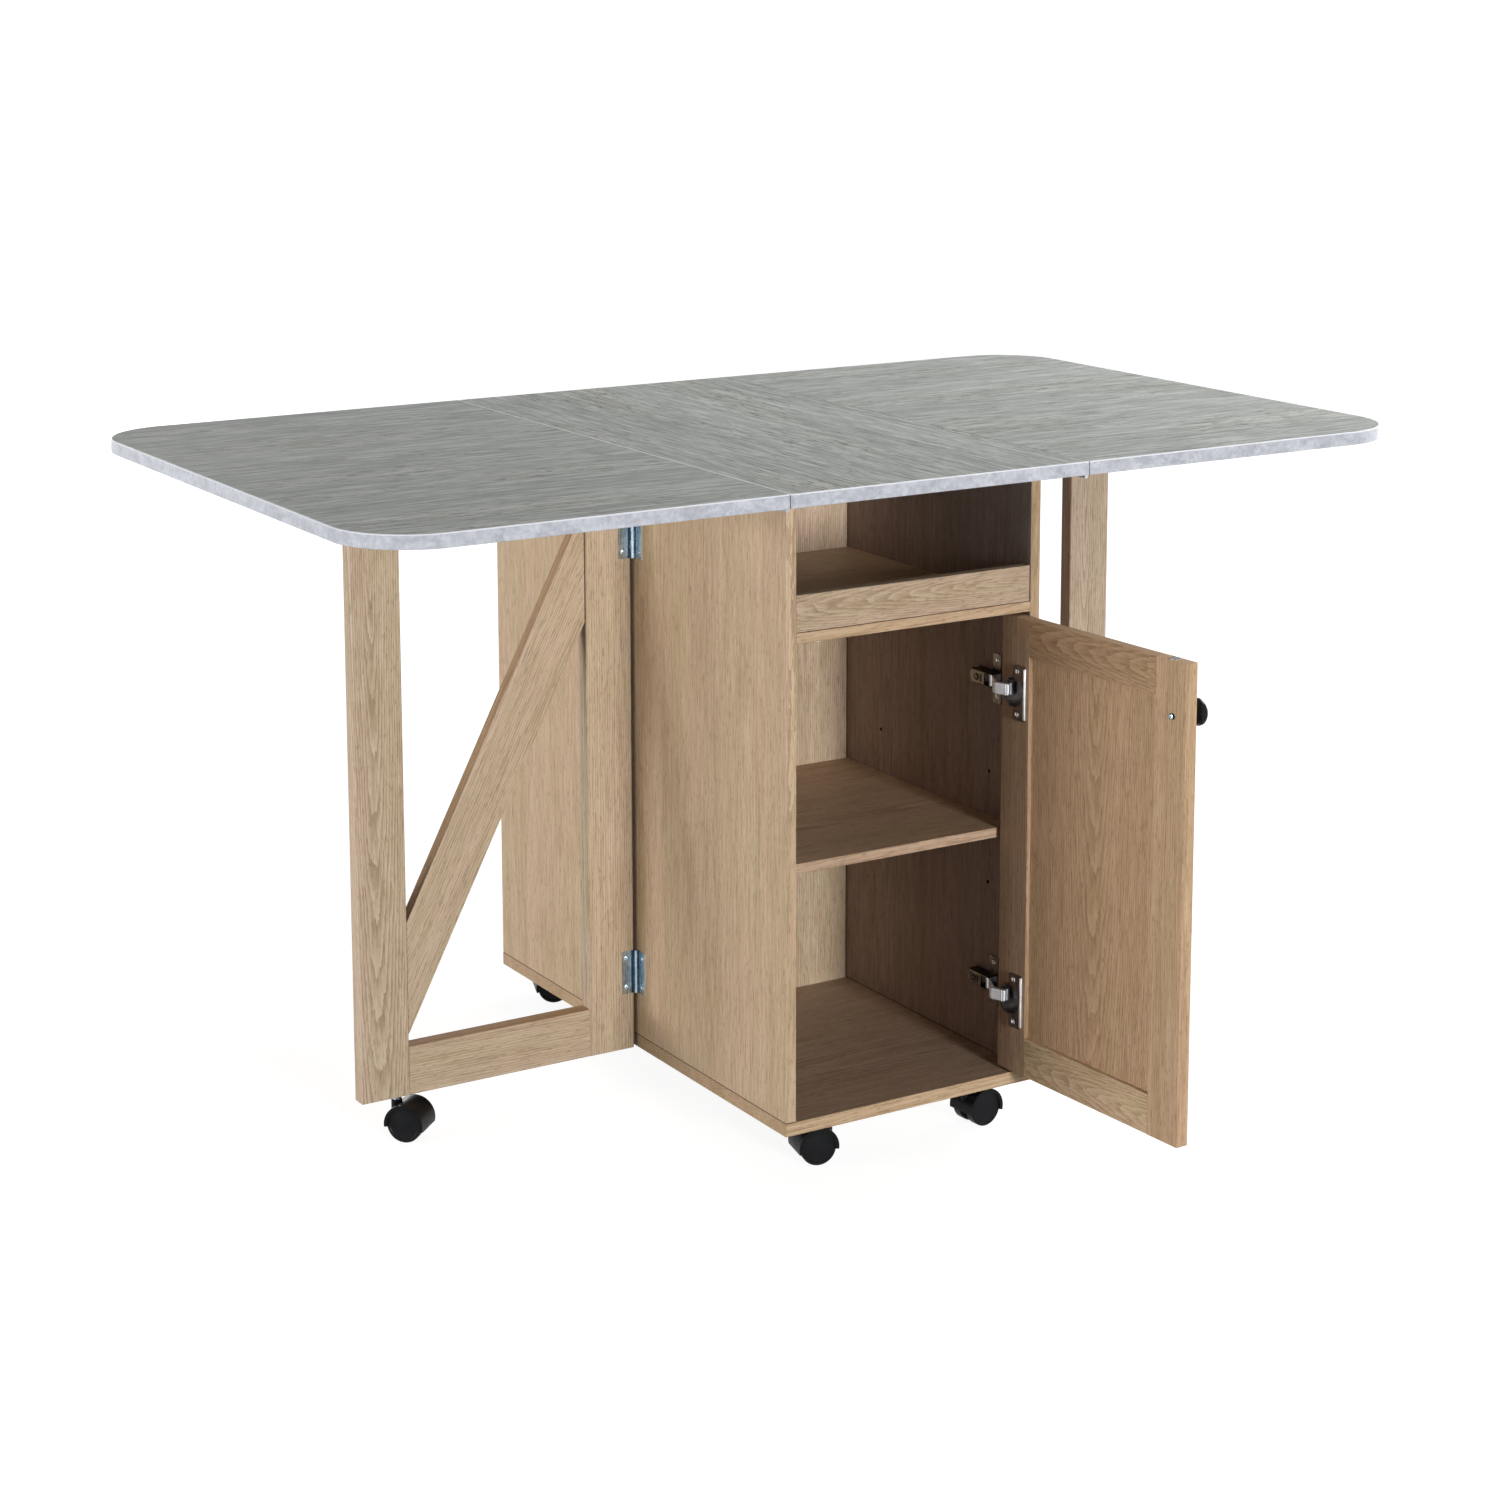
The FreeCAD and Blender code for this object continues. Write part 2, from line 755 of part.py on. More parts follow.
def door_closed():
    """All pieces of the door in the closed position."""
    groove = (door_thickness - door_panel_thickness) / 2
    inner_bottom = door_bottom + door_bottom_rail_width
    inner_top = door_top - door_top_rail_width
    reach = door_groove_depth - door_groove_play
    panel = door_box(
        door_stile_width - reach, door_width - door_stile_width + reach,
        groove, door_thickness - groove, inner_bottom - reach, inner_top + reach)
    slot = door_box(
        door_stile_width - door_groove_depth, door_width - door_stile_width + door_groove_depth,
        groove, door_thickness - groove,
        inner_bottom - door_groove_depth, inner_top + door_groove_depth)
    hinge_stile = door_member(0, door_stile_width, door_bottom, door_top, "z").cut(slot)
    free_stile = door_member(
        door_width - door_stile_width, door_width, door_bottom, door_top, "z").cut(slot)
    bottom_rail = door_member(
        door_stile_width, door_width - door_stile_width, door_bottom, inner_bottom, "x").cut(slot)
    top_rail = door_member(
        door_stile_width, door_width - door_stile_width, inner_top, door_top, "x").cut(slot)
    cups = []
    for z in cup_heights:
        hinge_stile = hinge_stile.cut(rod(cup_centre(z), -Y_AXIS, cup_diameter, cup_depth))
        cups.append(hinge_cup(z))
        for seat in cup_screw_places(z):
            screw = wood_screw(seat, -Y_AXIS)
            hinge_stile = hinge_stile.cut(screw)
            cups.append(screw)
    knob, knob_screw = door_knob()
    strike = rod(strike_seat(), Z_AXIS, strike_diameter, strike_depth + strike_proud)
    return {
        "door_hinge_stile": hinge_stile,
        "door_free_stile": free_stile.cut(knob_screw).cut(strike),
        "door_bottom_rail": bottom_rail,
        "door_top_rail": top_rail,
        "door_panel": panel,
        "door_hinge_cups": group(cups),
        "door_knob": group([knob, knob_screw]),
        "door_strike_disc": strike,
    }


# ---- cup hinge pieces that stay on the cabinet, and the links ---------------

def arm_pivot():
    """Pivot (x, y) where the link leaves the arm."""
    return Vector(inner_half - arm_pivot_from_panel, front + arm_pivot_from_front, 0)


def link_door_end():
    """Free end (x, y) of the link with the door open.

    Seen from the door pivot it stands half the opening angle to the left of the
    arm pivot, so that the link's length is right both with the door open and shut.
    """
    towards_arm = arm_pivot() - Vector(pivot_x, pivot_y, 0)
    angle = math.atan2(towards_arm.y, towards_arm.x) + math.radians(door_open_angle / 2)
    return Vector(
        pivot_x + link_radius_at_door * math.cos(angle),
        pivot_y + link_radius_at_door * math.sin(angle), 0)


def mounting_plate(z):
    """Winged plate on the right side panel with the rib that carries the arm."""
    y0 = front + plate_from_front
    x0 = inner_half - plate_thickness
    plate = box(x0, inner_half, y0, y0 + plate_length, z - plate_width / 2, z + plate_width / 2)
    wing = box(
        x0, inner_half, y0, y0 + plate_wing_width,
        z - plate_wing_span / 2, z + plate_wing_span / 2)
    rib_top = arm_web_x() + arm_wall
    rib = box(
        rib_top, x0, y0 + plate_wing_width, y0 + plate_length - 2 * arm_wall,
        z - rib_width / 2, z + rib_width / 2)
    plate = plate.fuse([wing, rib]).removeSplitter()
    for seat in plate_screw_seats(z):
        plate = plate.cut(wood_screw(seat, X_AXIS))
    return plate


def plate_screw_seats(z):
    """Screw heads on the wings of a mounting plate."""
    y = front + plate_from_front + plate_wing_width / 2
    return [Vector(inner_half - plate_thickness, y, z + side * plate_screw_spacing / 2)
            for side in (-1, 1)]


def arm_web_x():
    """Outer face of the arm's web, the side turned to the compartment."""
    return inner_half - plate_thickness - arm_depth


def hinge_arm(z):
    """Channel-shaped arm with its adjusting screw and the link's pin."""
    web_x = arm_web_x()
    pivot = arm_pivot()
    y0 = pivot.y - arm_nose
    y1 = pivot.y + arm_length
    outside = box(
        web_x, web_x + arm_depth - face_gap, y0, y1, z - arm_height / 2, z + arm_height / 2)
    corner_edges = [
        edge for edge in outside.Edges
        if edge.BoundBox.YLength > arm_nose and edge.CenterOfMass.x < web_x + arm_wall
    ]
    outside = outside.makeFillet(arm_corner_radius, corner_edges)
    hollow = box(
        web_x + arm_wall, web_x + arm_depth, y0, y1,
        z - arm_height / 2 + arm_wall, z + arm_height / 2 - arm_wall)
    window_half = link_height / 2 + arm_window_play
    window = box(
        web_x, web_x + arm_wall, y0, pivot.y + arm_window_length,
        z - window_half, z + window_half)
    pin = rod(
        Vector(pivot.x, pivot.y, z - arm_height / 2 + arm_wall), Z_AXIS,
        link_pin_diameter, arm_height - 2 * arm_wall)
    slot_y = y1 - arm_slot_from_end
    slot = box(
        web_x, web_x + arm_wall, slot_y - arm_slot_width / 2, slot_y + arm_slot_width / 2,
        z - arm_slot_height / 2, z + arm_slot_height / 2)
    screw = rod(
        Vector(web_x - adjust_screw_proud, y1 - adjust_screw_from_end, z), X_AXIS,
        adjust_screw_diameter, adjust_screw_proud + arm_wall)
    arm = outside.cut(hollow).cut(window).cut(slot).cut(screw)
    return [arm, pin, screw]


def hinge_link(z):
    """Cranked link, drawn for the open door, from the arm pin round the door's edge."""
    start = arm_pivot()
    end = link_door_end()
    off_face = -link_thickness / 2 - link_edge_clearance
    elbow_back = door_point(-link_elbow_back, off_face)
    elbow_front = door_point(link_elbow_front, off_face)
    points = [start, elbow_back, elbow_front, end]
    strip = ribbon(points, link_thickness)
    low = z - link_height / 2
    bar = prism([Vector(p.x, p.y, low) for p in strip], Vector(0, 0, link_height))
    eye = rod(Vector(start.x, start.y, low), Z_AXIS, 2 * link_eye_radius, link_height)
    toe = rod(Vector(end.x, end.y, low), Z_AXIS, link_toe_diameter, link_height)
    bore = rod(
        Vector(start.x, start.y, low), Z_AXIS, link_pin_diameter + 2 * pin_clearance, link_height)
    return bar.fuse([eye, toe]).removeSplitter().cut(bore)


def ribbon(points, thickness):
    """Outline of a flat strip of even thickness along a bent line in plan."""
    left = []
    right = []
    for number, point in enumerate(points):
        before = points[max(number - 1, 0)]
        after = points[min(number + 1, len(points) - 1)]
        along_in = (point - before) if number else (after - point)
        along_out = (after - point) if number < len(points) - 1 else (point - before)
        turn_in = math.atan2(along_in.y, along_in.x)
        turn_out = math.atan2(along_out.y, along_out.x)
        middle = (turn_in + turn_out) / 2
        half = thickness / 2 / math.cos((turn_out - turn_in) / 2)
        side = Vector(-math.sin(middle) * half, math.cos(middle) * half, 0)
        left.append(point + side)
        right.append(point - side)
    return left + right[::-1]


def door_point(s, d):
    """Plan point of the open door: s from the hinge edge, d from the inner face."""
    closed = Vector(door_hinge_x - s - pivot_x, door_inner_y - d - pivot_y, 0)
    turn = math.radians(door_open_angle)
    return Vector(
        pivot_x + closed.x * math.cos(turn) - closed.y * math.sin(turn),
        pivot_y + closed.x * math.sin(turn) + closed.y * math.cos(turn), 0)


def catch_and_bumper():
    """Magnetic catch under the niche shelf and the soft bumper on the left side."""
    start = catch_seat() - Vector(0, 0, catch_proud)
    catch = rod(start, Z_AXIS, catch_diameter, catch_proud + catch_depth)
    bumper = rod(
        Vector(-inner_half, front + bumper_diameter, floor_top + bumper_height), X_AXIS,
        bumper_diameter, bumper_thickness)
    return group([catch, bumper])


# ---- castors, drawn with the swivel axis at x = y = 0, trailing to +x ------

def castor_wheels():
    """Two wheels pressed on one axle."""
    axle_centre = Vector(castor_trail, 0, wheel_radius)
    inner = web_thickness / 2 + wheel_side_gap
    outer = inner + wheel_width
    dish_radius = wheel_radius - wheel_dish_rim
    pieces = []
    for side in (-1, 1):
        profile = [
            (0, inner),
            (wheel_radius - wheel_bevel, inner),
            (wheel_radius, inner + wheel_bevel),
            (wheel_radius, outer - wheel_bevel),
            (wheel_radius - wheel_bevel, outer),
            (dish_radius, outer),
            (dish_radius - wheel_dish_slope, outer - wheel_dish),
            (0, outer - wheel_dish),
        ]
        points = [axle_centre + Vector(radius, side * across, 0) for radius, across in profile]
        wheel = revolved(points, axle_centre, Y_AXIS)
        pieces.append(wheel.cut(axle()))
    return group(pieces + [axle()])


def axle():
    """Axle through the web, pressed into both wheels."""
    half = web_thickness / 2 + wheel_side_gap + axle_grip
    return rod(Vector(castor_trail, -half, wheel_radius), Y_AXIS, axle_diameter, 2 * half)


def hood_sector(inner, outer, y0, y1):
    """Part of a ring about the axle, open towards the floor."""
    centre = Vector(castor_trail, y0, wheel_radius)
    ring = Part.makeCylinder(outer, y1 - y0, centre, Y_AXIS)
    if inner > 0:
        ring = ring.cut(Part.makeCylinder(inner, y1 - y0, centre, Y_AXIS))
    far = 2 * castor_height
    low = math.radians(hood_free_side_angle)
    high = math.radians(hood_stem_side_angle)
    mouth = prism([
        centre,
        centre + Vector(-far * math.cos(high), 0, -far * math.sin(high)),
        centre + Vector(-far, 0, -far),
        centre + Vector(far, 0, -far),
        centre + Vector(far * math.cos(low), 0, -far * math.sin(low)),
    ], Vector(0, y1 - y0, 0))
    return ring.cut(mouth)


def castor_housing():
    """Hood with side lips, middle web and swivel boss in one moulding."""
    inner_face = web_thickness / 2 + wheel_side_gap
    lip_inside = inner_face + wheel_width + wheel_side_gap
    lip_outside = lip_inside + hood_lip_thickness
    cover = hood_sector(hood_inner, hood_outer, -lip_outside, lip_outside)
    lips = [
        hood_sector(hood_inner - hood_lip, hood_outer, lip_inside, lip_outside),
        hood_sector(hood_inner - hood_lip, hood_outer, -lip_outside, -lip_inside),
    ]
    web = hood_sector(0, hood_inner + hood_wall / 2, -web_thickness / 2, web_thickness / 2)
    hub = rod(
        Vector(castor_trail, -web_thickness / 2, wheel_radius), Y_AXIS,
        2 * axle_diameter, web_thickness)
    boss = rod(Vector(0, 0, boss_foot), Z_AXIS, boss_diameter, boss_top - boss_foot)
    wheel_room = Part.makeCylinder(
        hood_inner, 2 * lip_inside, Vector(castor_trail, -lip_inside, wheel_radius), Y_AXIS)
    boss = boss.cut(wheel_room)
    housing = cover.fuse(lips + [web, hub, boss]).removeSplitter()
    swivel_bore_depth = swivel_pin_depth + swivel_bore_extra
    swivel_bore = rod(
        Vector(0, 0, boss_top - swivel_bore_depth), Z_AXIS,
        swivel_pin_diameter + 2 * pin_clearance, swivel_bore_depth)
    axle_bore = rod(
        Vector(castor_trail, -web_thickness, wheel_radius), Y_AXIS,
        axle_diameter + 2 * pin_clearance, 2 * web_thickness)
    return housing.cut(swivel_bore).cut(axle_bore)


def swivel_pin(x, y):
    """Pin that a castor swivels on."""
    return rod(
        Vector(x, y, boss_top - swivel_pin_depth), Z_AXIS,
        swivel_pin_diameter, swivel_pin_depth + face_gap)


def cabinet_castor_plate(x, y):
    """Square plate with neck and swivel pin under the bottom board."""
    half = castor_plate_size / 2
    low = castor_height - castor_plate_thickness
    plate = box(x - half, x + half, y - half, y + half, low, castor_height)
    neck_low = boss_top + face_gap
    neck = rod(Vector(x, y, neck_low), Z_AXIS, castor_neck_diameter, low - neck_low)
    plate = plate.fuse([neck, swivel_pin(x, y)]).removeSplitter()
    for seat in castor_plate_screw_seats(x, y):
        plate = plate.cut(wood_screw(seat, Z_AXIS))
    return plate


def castor_plate_screw_seats(x, y):
    """Heads of the four screws of a castor plate."""
    half = castor_plate_hole_spacing / 2
    low = castor_height - castor_plate_thickness
    return [Vector(x + a * half, y + b * half, low) for a in (-1, 1) for b in (-1, 1)]


def leg_castor_stem():
    """Stem driven into the foot of the left outer post, with collar and pin."""
    collar_low = boss_top + face_gap
    collar = rod(
        Vector(-leg_castor_x, 0, collar_low), Z_AXIS,
        stem_collar_diameter, castor_height - collar_low)
    grip = rod(Vector(-leg_castor_x, 0, castor_height), Z_AXIS, stem_diameter, stem_grip)
    return collar.fuse([grip, swivel_pin(-leg_castor_x, 0)]).removeSplitter()


def castor_places():
    """Swivel axis (x, y) of every castor."""
    x = half_width - castor_inset_x
    y = half_depth - castor_inset_y
    return {
        "front_left": (-x, -y),
        "front_right": (x, -y),
        "rear_left": (-x, y),
        "rear_right": (x, y),
        "left_leg": (-leg_castor_x, 0),
        "right_leg": (leg_castor_x, 0),
    }


def placed_castor(shape, name):
    """Castor piece moved to its place and turned to its trailing direction."""
    x, y = castor_places()[name]
    piece = turned(shape, castor_directions[name], Vector(0, 0, 0))
    piece.translate(Vector(x, y, 0))
    return piece


# ---- the whole table ---------------------------------------------------------

def build():
    """All nodes by name, with the origin under the middle of the bounding box."""
    nodes = carcass()
    nodes.update(centre_top())
    cabinet_screws = []

    fixed, pin = left_seam_fixed_pieces()
    nodes["seam_hinge_fixed_wings"] = group([fixed, pin, mirrored(fixed), mirrored(pin)])
    for piece, shape in left_leaf().items():
        nodes["left_" + piece] = shape
        nodes["right_" + piece] = mirrored(shape)

    side_wings = cabinet_side_wings()
    nodes["leg_hinge_cabinet_wings"] = group(side_wings + [mirrored(s) for s in side_wings])
    for piece, shape in left_leg().items():
        nodes["left_" + piece] = shape
        nodes["right_" + piece] = mirrored(shape)
    for screw in left_side_screws():
        nodes["left_side_panel"] = nodes["left_side_panel"].cut(screw)
        nodes["right_side_panel"] = nodes["right_side_panel"].cut(mirrored(screw))
        cabinet_screws += [screw, mirrored(screw)]

    for piece, shape in door_closed().items():
        nodes[piece] = turned(shape, door_open_angle, Vector(pivot_x, pivot_y, 0))
    nodes["door_hinge_plates"] = group([mounting_plate(z) for z in cup_heights])
    nodes["door_hinge_arms"] = group([piece for z in cup_heights for piece in hinge_arm(z)])
    nodes["door_hinge_links"] = group([hinge_link(z) for z in cup_heights])
    nodes["door_catch_and_bumper"] = catch_and_bumper()
    for z in cup_heights:
        for seat in plate_screw_seats(z):
            screw = wood_screw(seat, X_AXIS)
            nodes["right_side_panel"] = nodes["right_side_panel"].cut(screw)
            cabinet_screws.append(screw)

    wheels = castor_wheels()
    housing = castor_housing()
    plates = []
    for name, (x, y) in castor_places().items():
        nodes["castor_" + name + "_housing"] = placed_castor(housing, name)
        nodes["castor_" + name + "_wheels"] = placed_castor(wheels, name)
        if "leg" in name:
            continue
        plates.append(cabinet_castor_plate(x, y))
        for seat in castor_plate_screw_seats(x, y):
            screw = wood_screw(seat, Z_AXIS)
            nodes["bottom_board"] = nodes["bottom_board"].cut(screw)
            cabinet_screws.append(screw)
    nodes["cabinet_castor_plates"] = group(plates)
    nodes["cabinet_screws"] = group(cabinet_screws)

    for shape in nodes.values():
        shape.translate(origin_shift())
    return nodes


def origin_shift():
    """Moves the point on the floor under the middle of the bounding box to the origin."""
    back = top_depth / 2
    front_end = door_point(door_width, 0).y
    return Vector(0, -(back + front_end) / 2, 0)


def main():
    """Write one STEP file per node."""
    os.makedirs("parts", exist_ok=True)
    for name, shape in build().items():
        shape.exportStep("parts/" + name + ".step")


main()
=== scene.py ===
# %% [markdown]
# # Drop-leaf kitchen table with a storage cabinet
#
# The table's boards, hinges and castors come from a packed construction model, which
# this script loads as a fixed frame. What is left to do here is the looks: the camera,
# the light, the oak-grain and stone-look laminates, the plated metals, the moulded
# plastics, and the small fasteners that a construction model leaves plain.

# %% Load the frame
import json
import math

import bmesh
import bpy
import numpy as np
from mathutils import Matrix, Vector


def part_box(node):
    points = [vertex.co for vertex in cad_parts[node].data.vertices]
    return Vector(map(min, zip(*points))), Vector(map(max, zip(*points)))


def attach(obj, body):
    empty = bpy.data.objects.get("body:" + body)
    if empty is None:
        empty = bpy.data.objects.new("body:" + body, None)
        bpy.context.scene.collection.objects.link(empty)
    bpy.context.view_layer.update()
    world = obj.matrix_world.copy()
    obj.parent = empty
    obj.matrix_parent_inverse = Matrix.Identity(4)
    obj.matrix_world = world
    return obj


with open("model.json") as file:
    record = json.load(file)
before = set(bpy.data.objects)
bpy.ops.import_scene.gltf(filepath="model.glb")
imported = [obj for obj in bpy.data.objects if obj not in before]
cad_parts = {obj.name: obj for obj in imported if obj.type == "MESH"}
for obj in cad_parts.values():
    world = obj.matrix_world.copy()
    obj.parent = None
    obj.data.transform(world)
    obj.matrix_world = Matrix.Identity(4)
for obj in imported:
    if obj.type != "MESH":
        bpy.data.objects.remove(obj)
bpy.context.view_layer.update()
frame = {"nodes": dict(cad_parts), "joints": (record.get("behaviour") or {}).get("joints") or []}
nodes = frame["nodes"]

# %% [markdown]
# ## Places taken from the frame
#
# A finish needs to know where a board lies and which way its grain runs, and a screw
# needs its plate. Both are read from the frame's boxes and joints instead of being
# typed in, so that the looks follow the construction when a size changes.

# %% Boxes, and the directions of the open door
joints = {joint["name"]: joint for joint in frame["joints"]}
X = Vector((1, 0, 0))
Y = Vector((0, 1, 0))
Z = Vector((0, 0, 1))


def middle(node):
    """Centre of a node's box."""
    low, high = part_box(node)
    return (low + high) / 2


def corners(node):
    """All points of a node's mesh as rows."""
    mesh = nodes[node].data
    points = np.empty(len(mesh.vertices) * 3)
    mesh.vertices.foreach_get("co", points)
    return points.reshape(-1, 3)


door_open = math.radians(-joints["door_swing"]["range_deg"][0])
door_across = Vector((-math.cos(door_open), -math.sin(door_open), 0))
door_inward = Vector((-math.sin(door_open), math.cos(door_open), 0))
print("door stands open by", round(math.degrees(door_open), 1), "degrees")

# %% [markdown]
# ## Camera
#
# The camera stands in front and to the left, a little above the top. A long lens keeps
# the legs nearly parallel, and a small vertical shift does what an architect's view
# camera does: it brings the table to the middle of the frame while the camera is
# tilted down only slightly, so that upright edges stay close to upright.

# %% Camera
picture_size = 1500
sensor_width_mm = 36.0
focal_length_px = 3071.0
horizon_row_px = 450.0
camera_place = Vector((-1.8024, -2.8359, 1.2967))
camera_yaw = math.radians(31.393)
camera_pitch = math.radians(-9.390)
camera_roll = math.radians(0.105)


def make_camera():
    """Camera that looks along yaw (from +y towards +x) and pitch, with a shift."""
    data = bpy.data.cameras.new("camera")
    data.sensor_width = sensor_width_mm
    data.lens = focal_length_px * data.sensor_width / picture_size
    data.shift_y = (horizon_row_px - picture_size / 2) / picture_size
    camera = bpy.data.objects.new("camera", data)
    forward = Vector((
        math.sin(camera_yaw) * math.cos(camera_pitch),
        math.cos(camera_yaw) * math.cos(camera_pitch),
        math.sin(camera_pitch)))
    right = Vector((math.cos(camera_yaw), -math.sin(camera_yaw), 0))
    up = right.cross(forward)
    turn = Matrix((right, up, -forward)).transposed()
    roll = Matrix.Rotation(camera_roll, 3, forward)
    camera.matrix_world = Matrix.Translation(camera_place) @ (roll @ turn).to_4x4()
    bpy.context.scene.collection.objects.link(camera)
    bpy.context.scene.camera = camera
    return camera


camera = make_camera()
print("lens", round(camera.data.lens, 2), "mm, shift", camera.data.shift_y)

# %% [markdown]
# ## Light and floor
#
# Such a table is lit in a white studio by five softboxes. The front one is narrow,
# upright and far away, so it reaches the back of the compartments under the top and
# leaves their right-hand walls dark. The left and right ones light the cabinet's sides
# and the legs, the back one the rear, and the one above the right end lights the top.
# The floor and the world look white to the camera and in reflections, but they send
# little light back, so the white costs the shadows nothing.

# %% Two node helpers and the world
ambient_level = 0.08
ambient_light = ((0.95, 0.97, 1.0, 1.0), ambient_level)
white_seen = ((1.0, 1.0, 1.0, 1.0), 1.0)


def set_inputs(node, values):
    """Gives a node's inputs their values by name."""
    for name, value in values.items():
        node.inputs[name].default_value = value


def seen_directly(tree):
    """1 for rays from the camera and through mirrors or glass, 0 for other light."""
    path = tree.nodes.new("ShaderNodeLightPath")
    seen = path.outputs["Is Camera Ray"]
    for ray in ("Is Glossy Ray", "Is Transmission Ray"):
        either = tree.nodes.new("ShaderNodeMath")
        either.operation = "MAXIMUM"
        tree.links.new(seen, either.inputs[0])
        tree.links.new(path.outputs[ray], either.inputs[1])
        seen = either.outputs[0]
    return seen


def make_world():
    """White world for the eye, pale grey for everything that it lights."""
    world = bpy.data.worlds.new("studio")
    world.use_nodes = True
    tree = world.node_tree
    tree.nodes.clear()
    mix = tree.nodes.new("ShaderNodeMixShader")
    tree.links.new(seen_directly(tree), mix.inputs[0])
    for socket, (colour, strength) in zip(mix.inputs[1:], (ambient_light, white_seen)):
        light = tree.nodes.new("ShaderNodeBackground")
        set_inputs(light, {"Color": colour, "Strength": strength})
        tree.links.new(light.outputs[0], socket)
    output = tree.nodes.new("ShaderNodeOutputWorld")
    tree.links.new(mix.outputs[0], output.inputs["Surface"])
    bpy.context.scene.world = world


make_world()
scene = bpy.context.scene
scene.view_settings.view_transform = "Standard"
print("world ready, ambient", ambient_level)

# %% Softboxes


def softbox(name, place, target, width, height, power):
    """Rectangular lamp at a place, turned to face a target; metres and watts."""
    data = bpy.data.lights.new(name, "AREA")
    data.shape = "RECTANGLE"
    data.size = width
    data.size_y = height
    data.energy = power
    lamp = bpy.data.objects.new(name, data)
    lamp.location = place
    towards = Vector(target) - Vector(place)
    lamp.rotation_euler = towards.to_track_quat("-Z", "Y").to_euler()
    lamp.visible_camera = False
    scene.collection.objects.link(lamp)


softbox("front_softbox", (-0.1, -6.4, 1.2), (0.0, 0.0, 0.5), 1.0, 1.4, 300)
softbox("left_softbox", (-5.0, 1.2, 0.60), (0.0, 0.0, 0.45), 3.6, 1.1, 190)
softbox("top_softbox", (2.5, -0.2, 2.6), (0.2, 0.0, 0.7), 1.8, 1.8, 85)
softbox("right_softbox", (5.0, 1.4, 1.0), (0.0, 0.0, 0.4), 2.2, 1.6, 80)
softbox("back_softbox", (0.2, 5.2, 1.0), (0.0, 0.0, 0.4), 2.4, 1.6, 60)

# %% Floor
floor_half_size = 60.0
floor_albedo = 0.30
# The glow's strength (To) over the distance from the middle in metres (From).
glow_fade = {"From Min": 0.9, "From Max": 3.0, "To Min": 0.90, "To Max": 1.0}


def make_floor():
    """Large flat quad whose diffuse part keeps the shadow and whose glow keeps it white."""
    mesh = bpy.data.meshes.new("studio_floor")
    half = floor_half_size
    points = [(-half, -half, 0), (half, -half, 0), (half, half, 0), (-half, half, 0)]
    mesh.from_pydata(points, [], [(0, 1, 2, 3)])
    floor = bpy.data.objects.new("studio_floor", mesh)
    scene.collection.objects.link(floor)
    material = bpy.data.materials.new("floor_white")
    material.use_nodes = True
    tree = material.node_tree
    tree.nodes.clear()
    diffuse = tree.nodes.new("ShaderNodeBsdfDiffuse")
    diffuse.inputs["Color"].default_value = (floor_albedo, floor_albedo, floor_albedo, 1)
    glow = tree.nodes.new("ShaderNodeEmission")
    place = tree.nodes.new("ShaderNodeTexCoord")
    distance = tree.nodes.new("ShaderNodeVectorMath")
    distance.operation = "LENGTH"
    tree.links.new(place.outputs["Object"], distance.inputs[0])
    fade = tree.nodes.new("ShaderNodeMapRange")
    set_inputs(fade, glow_fade)
    tree.links.new(distance.outputs["Value"], fade.inputs["Value"])
    strength = tree.nodes.new("ShaderNodeMath")
    strength.operation = "MULTIPLY"
    tree.links.new(seen_directly(tree), strength.inputs[0])
    tree.links.new(fade.outputs["Result"], strength.inputs[1])
    tree.links.new(strength.outputs[0], glow.inputs["Strength"])
    add = tree.nodes.new("ShaderNodeAddShader")
    output = tree.nodes.new("ShaderNodeOutputMaterial")
    tree.links.new(diffuse.outputs[0], add.inputs[0])
    tree.links.new(glow.outputs[0], add.inputs[1])
    tree.links.new(add.outputs[0], output.inputs["Surface"])
    mesh.materials.append(material)


make_floor()
print("floor", 2 * floor_half_size, "m wide")

# %% [markdown]
# ## Tools for finishes
#
# A procedural finish is a small graph of texture nodes. The graphs below share a few
# steps, so each step is a function: read the object's own coordinates, turn them so
# that the pattern's z axis runs along the grain, stretch a noise, and map a value to a
# colour. Coordinates are the object's, so the pattern is printed on the board and
# moves with it. A noise is written as four or five numbers: its scale across the grain
# and along it, its detail, its roughness and, where it has one, its distortion.

# %% Node helpers


def srgb(red, green, blue):
    """Linear colour of a screen colour given in 0 to 255."""
    def line(value):
        share = value / 255
        return share / 12.92 if share <= 0.04045 else ((share + 0.055) / 1.055) ** 2.4
    return (line(red), line(green), line(blue), 1.0)


def new_finish(name, metallic=0.0, specular=0.5):
    """Material with one Principled shader; even values sit on the shader's sockets."""
    material = bpy.data.materials.new(name)
    material.use_nodes = True
    tree = material.node_tree
    shader = tree.nodes["Principled BSDF"]
    set_inputs(shader, {"Metallic": metallic, "Specular IOR Level": specular})
    return material, tree, shader


def grain_frame(along, thick, lean=0.0):
    """Turn that lays z along the grain and y through the board, leaning by an angle."""
    z_axis = Vector(along).normalized()
    y_axis = Vector(thick).normalized()
    x_axis = y_axis.cross(z_axis)
    turn = Matrix((x_axis, y_axis, z_axis))
    return Matrix.Rotation(lean, 3, "X") @ turn


def placed_pattern(tree, turn=Matrix.Identity(3), centre=Vector(), offset=(0, 0, 0)):
    """Object coordinates, turned about the board's centre and moved by an offset."""
    coordinates = tree.nodes.new("ShaderNodeTexCoord")
    mapping = tree.nodes.new("ShaderNodeMapping")
    location = Vector(offset) - turn @ centre
    set_inputs(mapping, {"Rotation": turn.to_euler("XYZ"), "Location": location})
    tree.links.new(coordinates.outputs["Object"], mapping.inputs["Vector"])
    return mapping.outputs["Vector"]


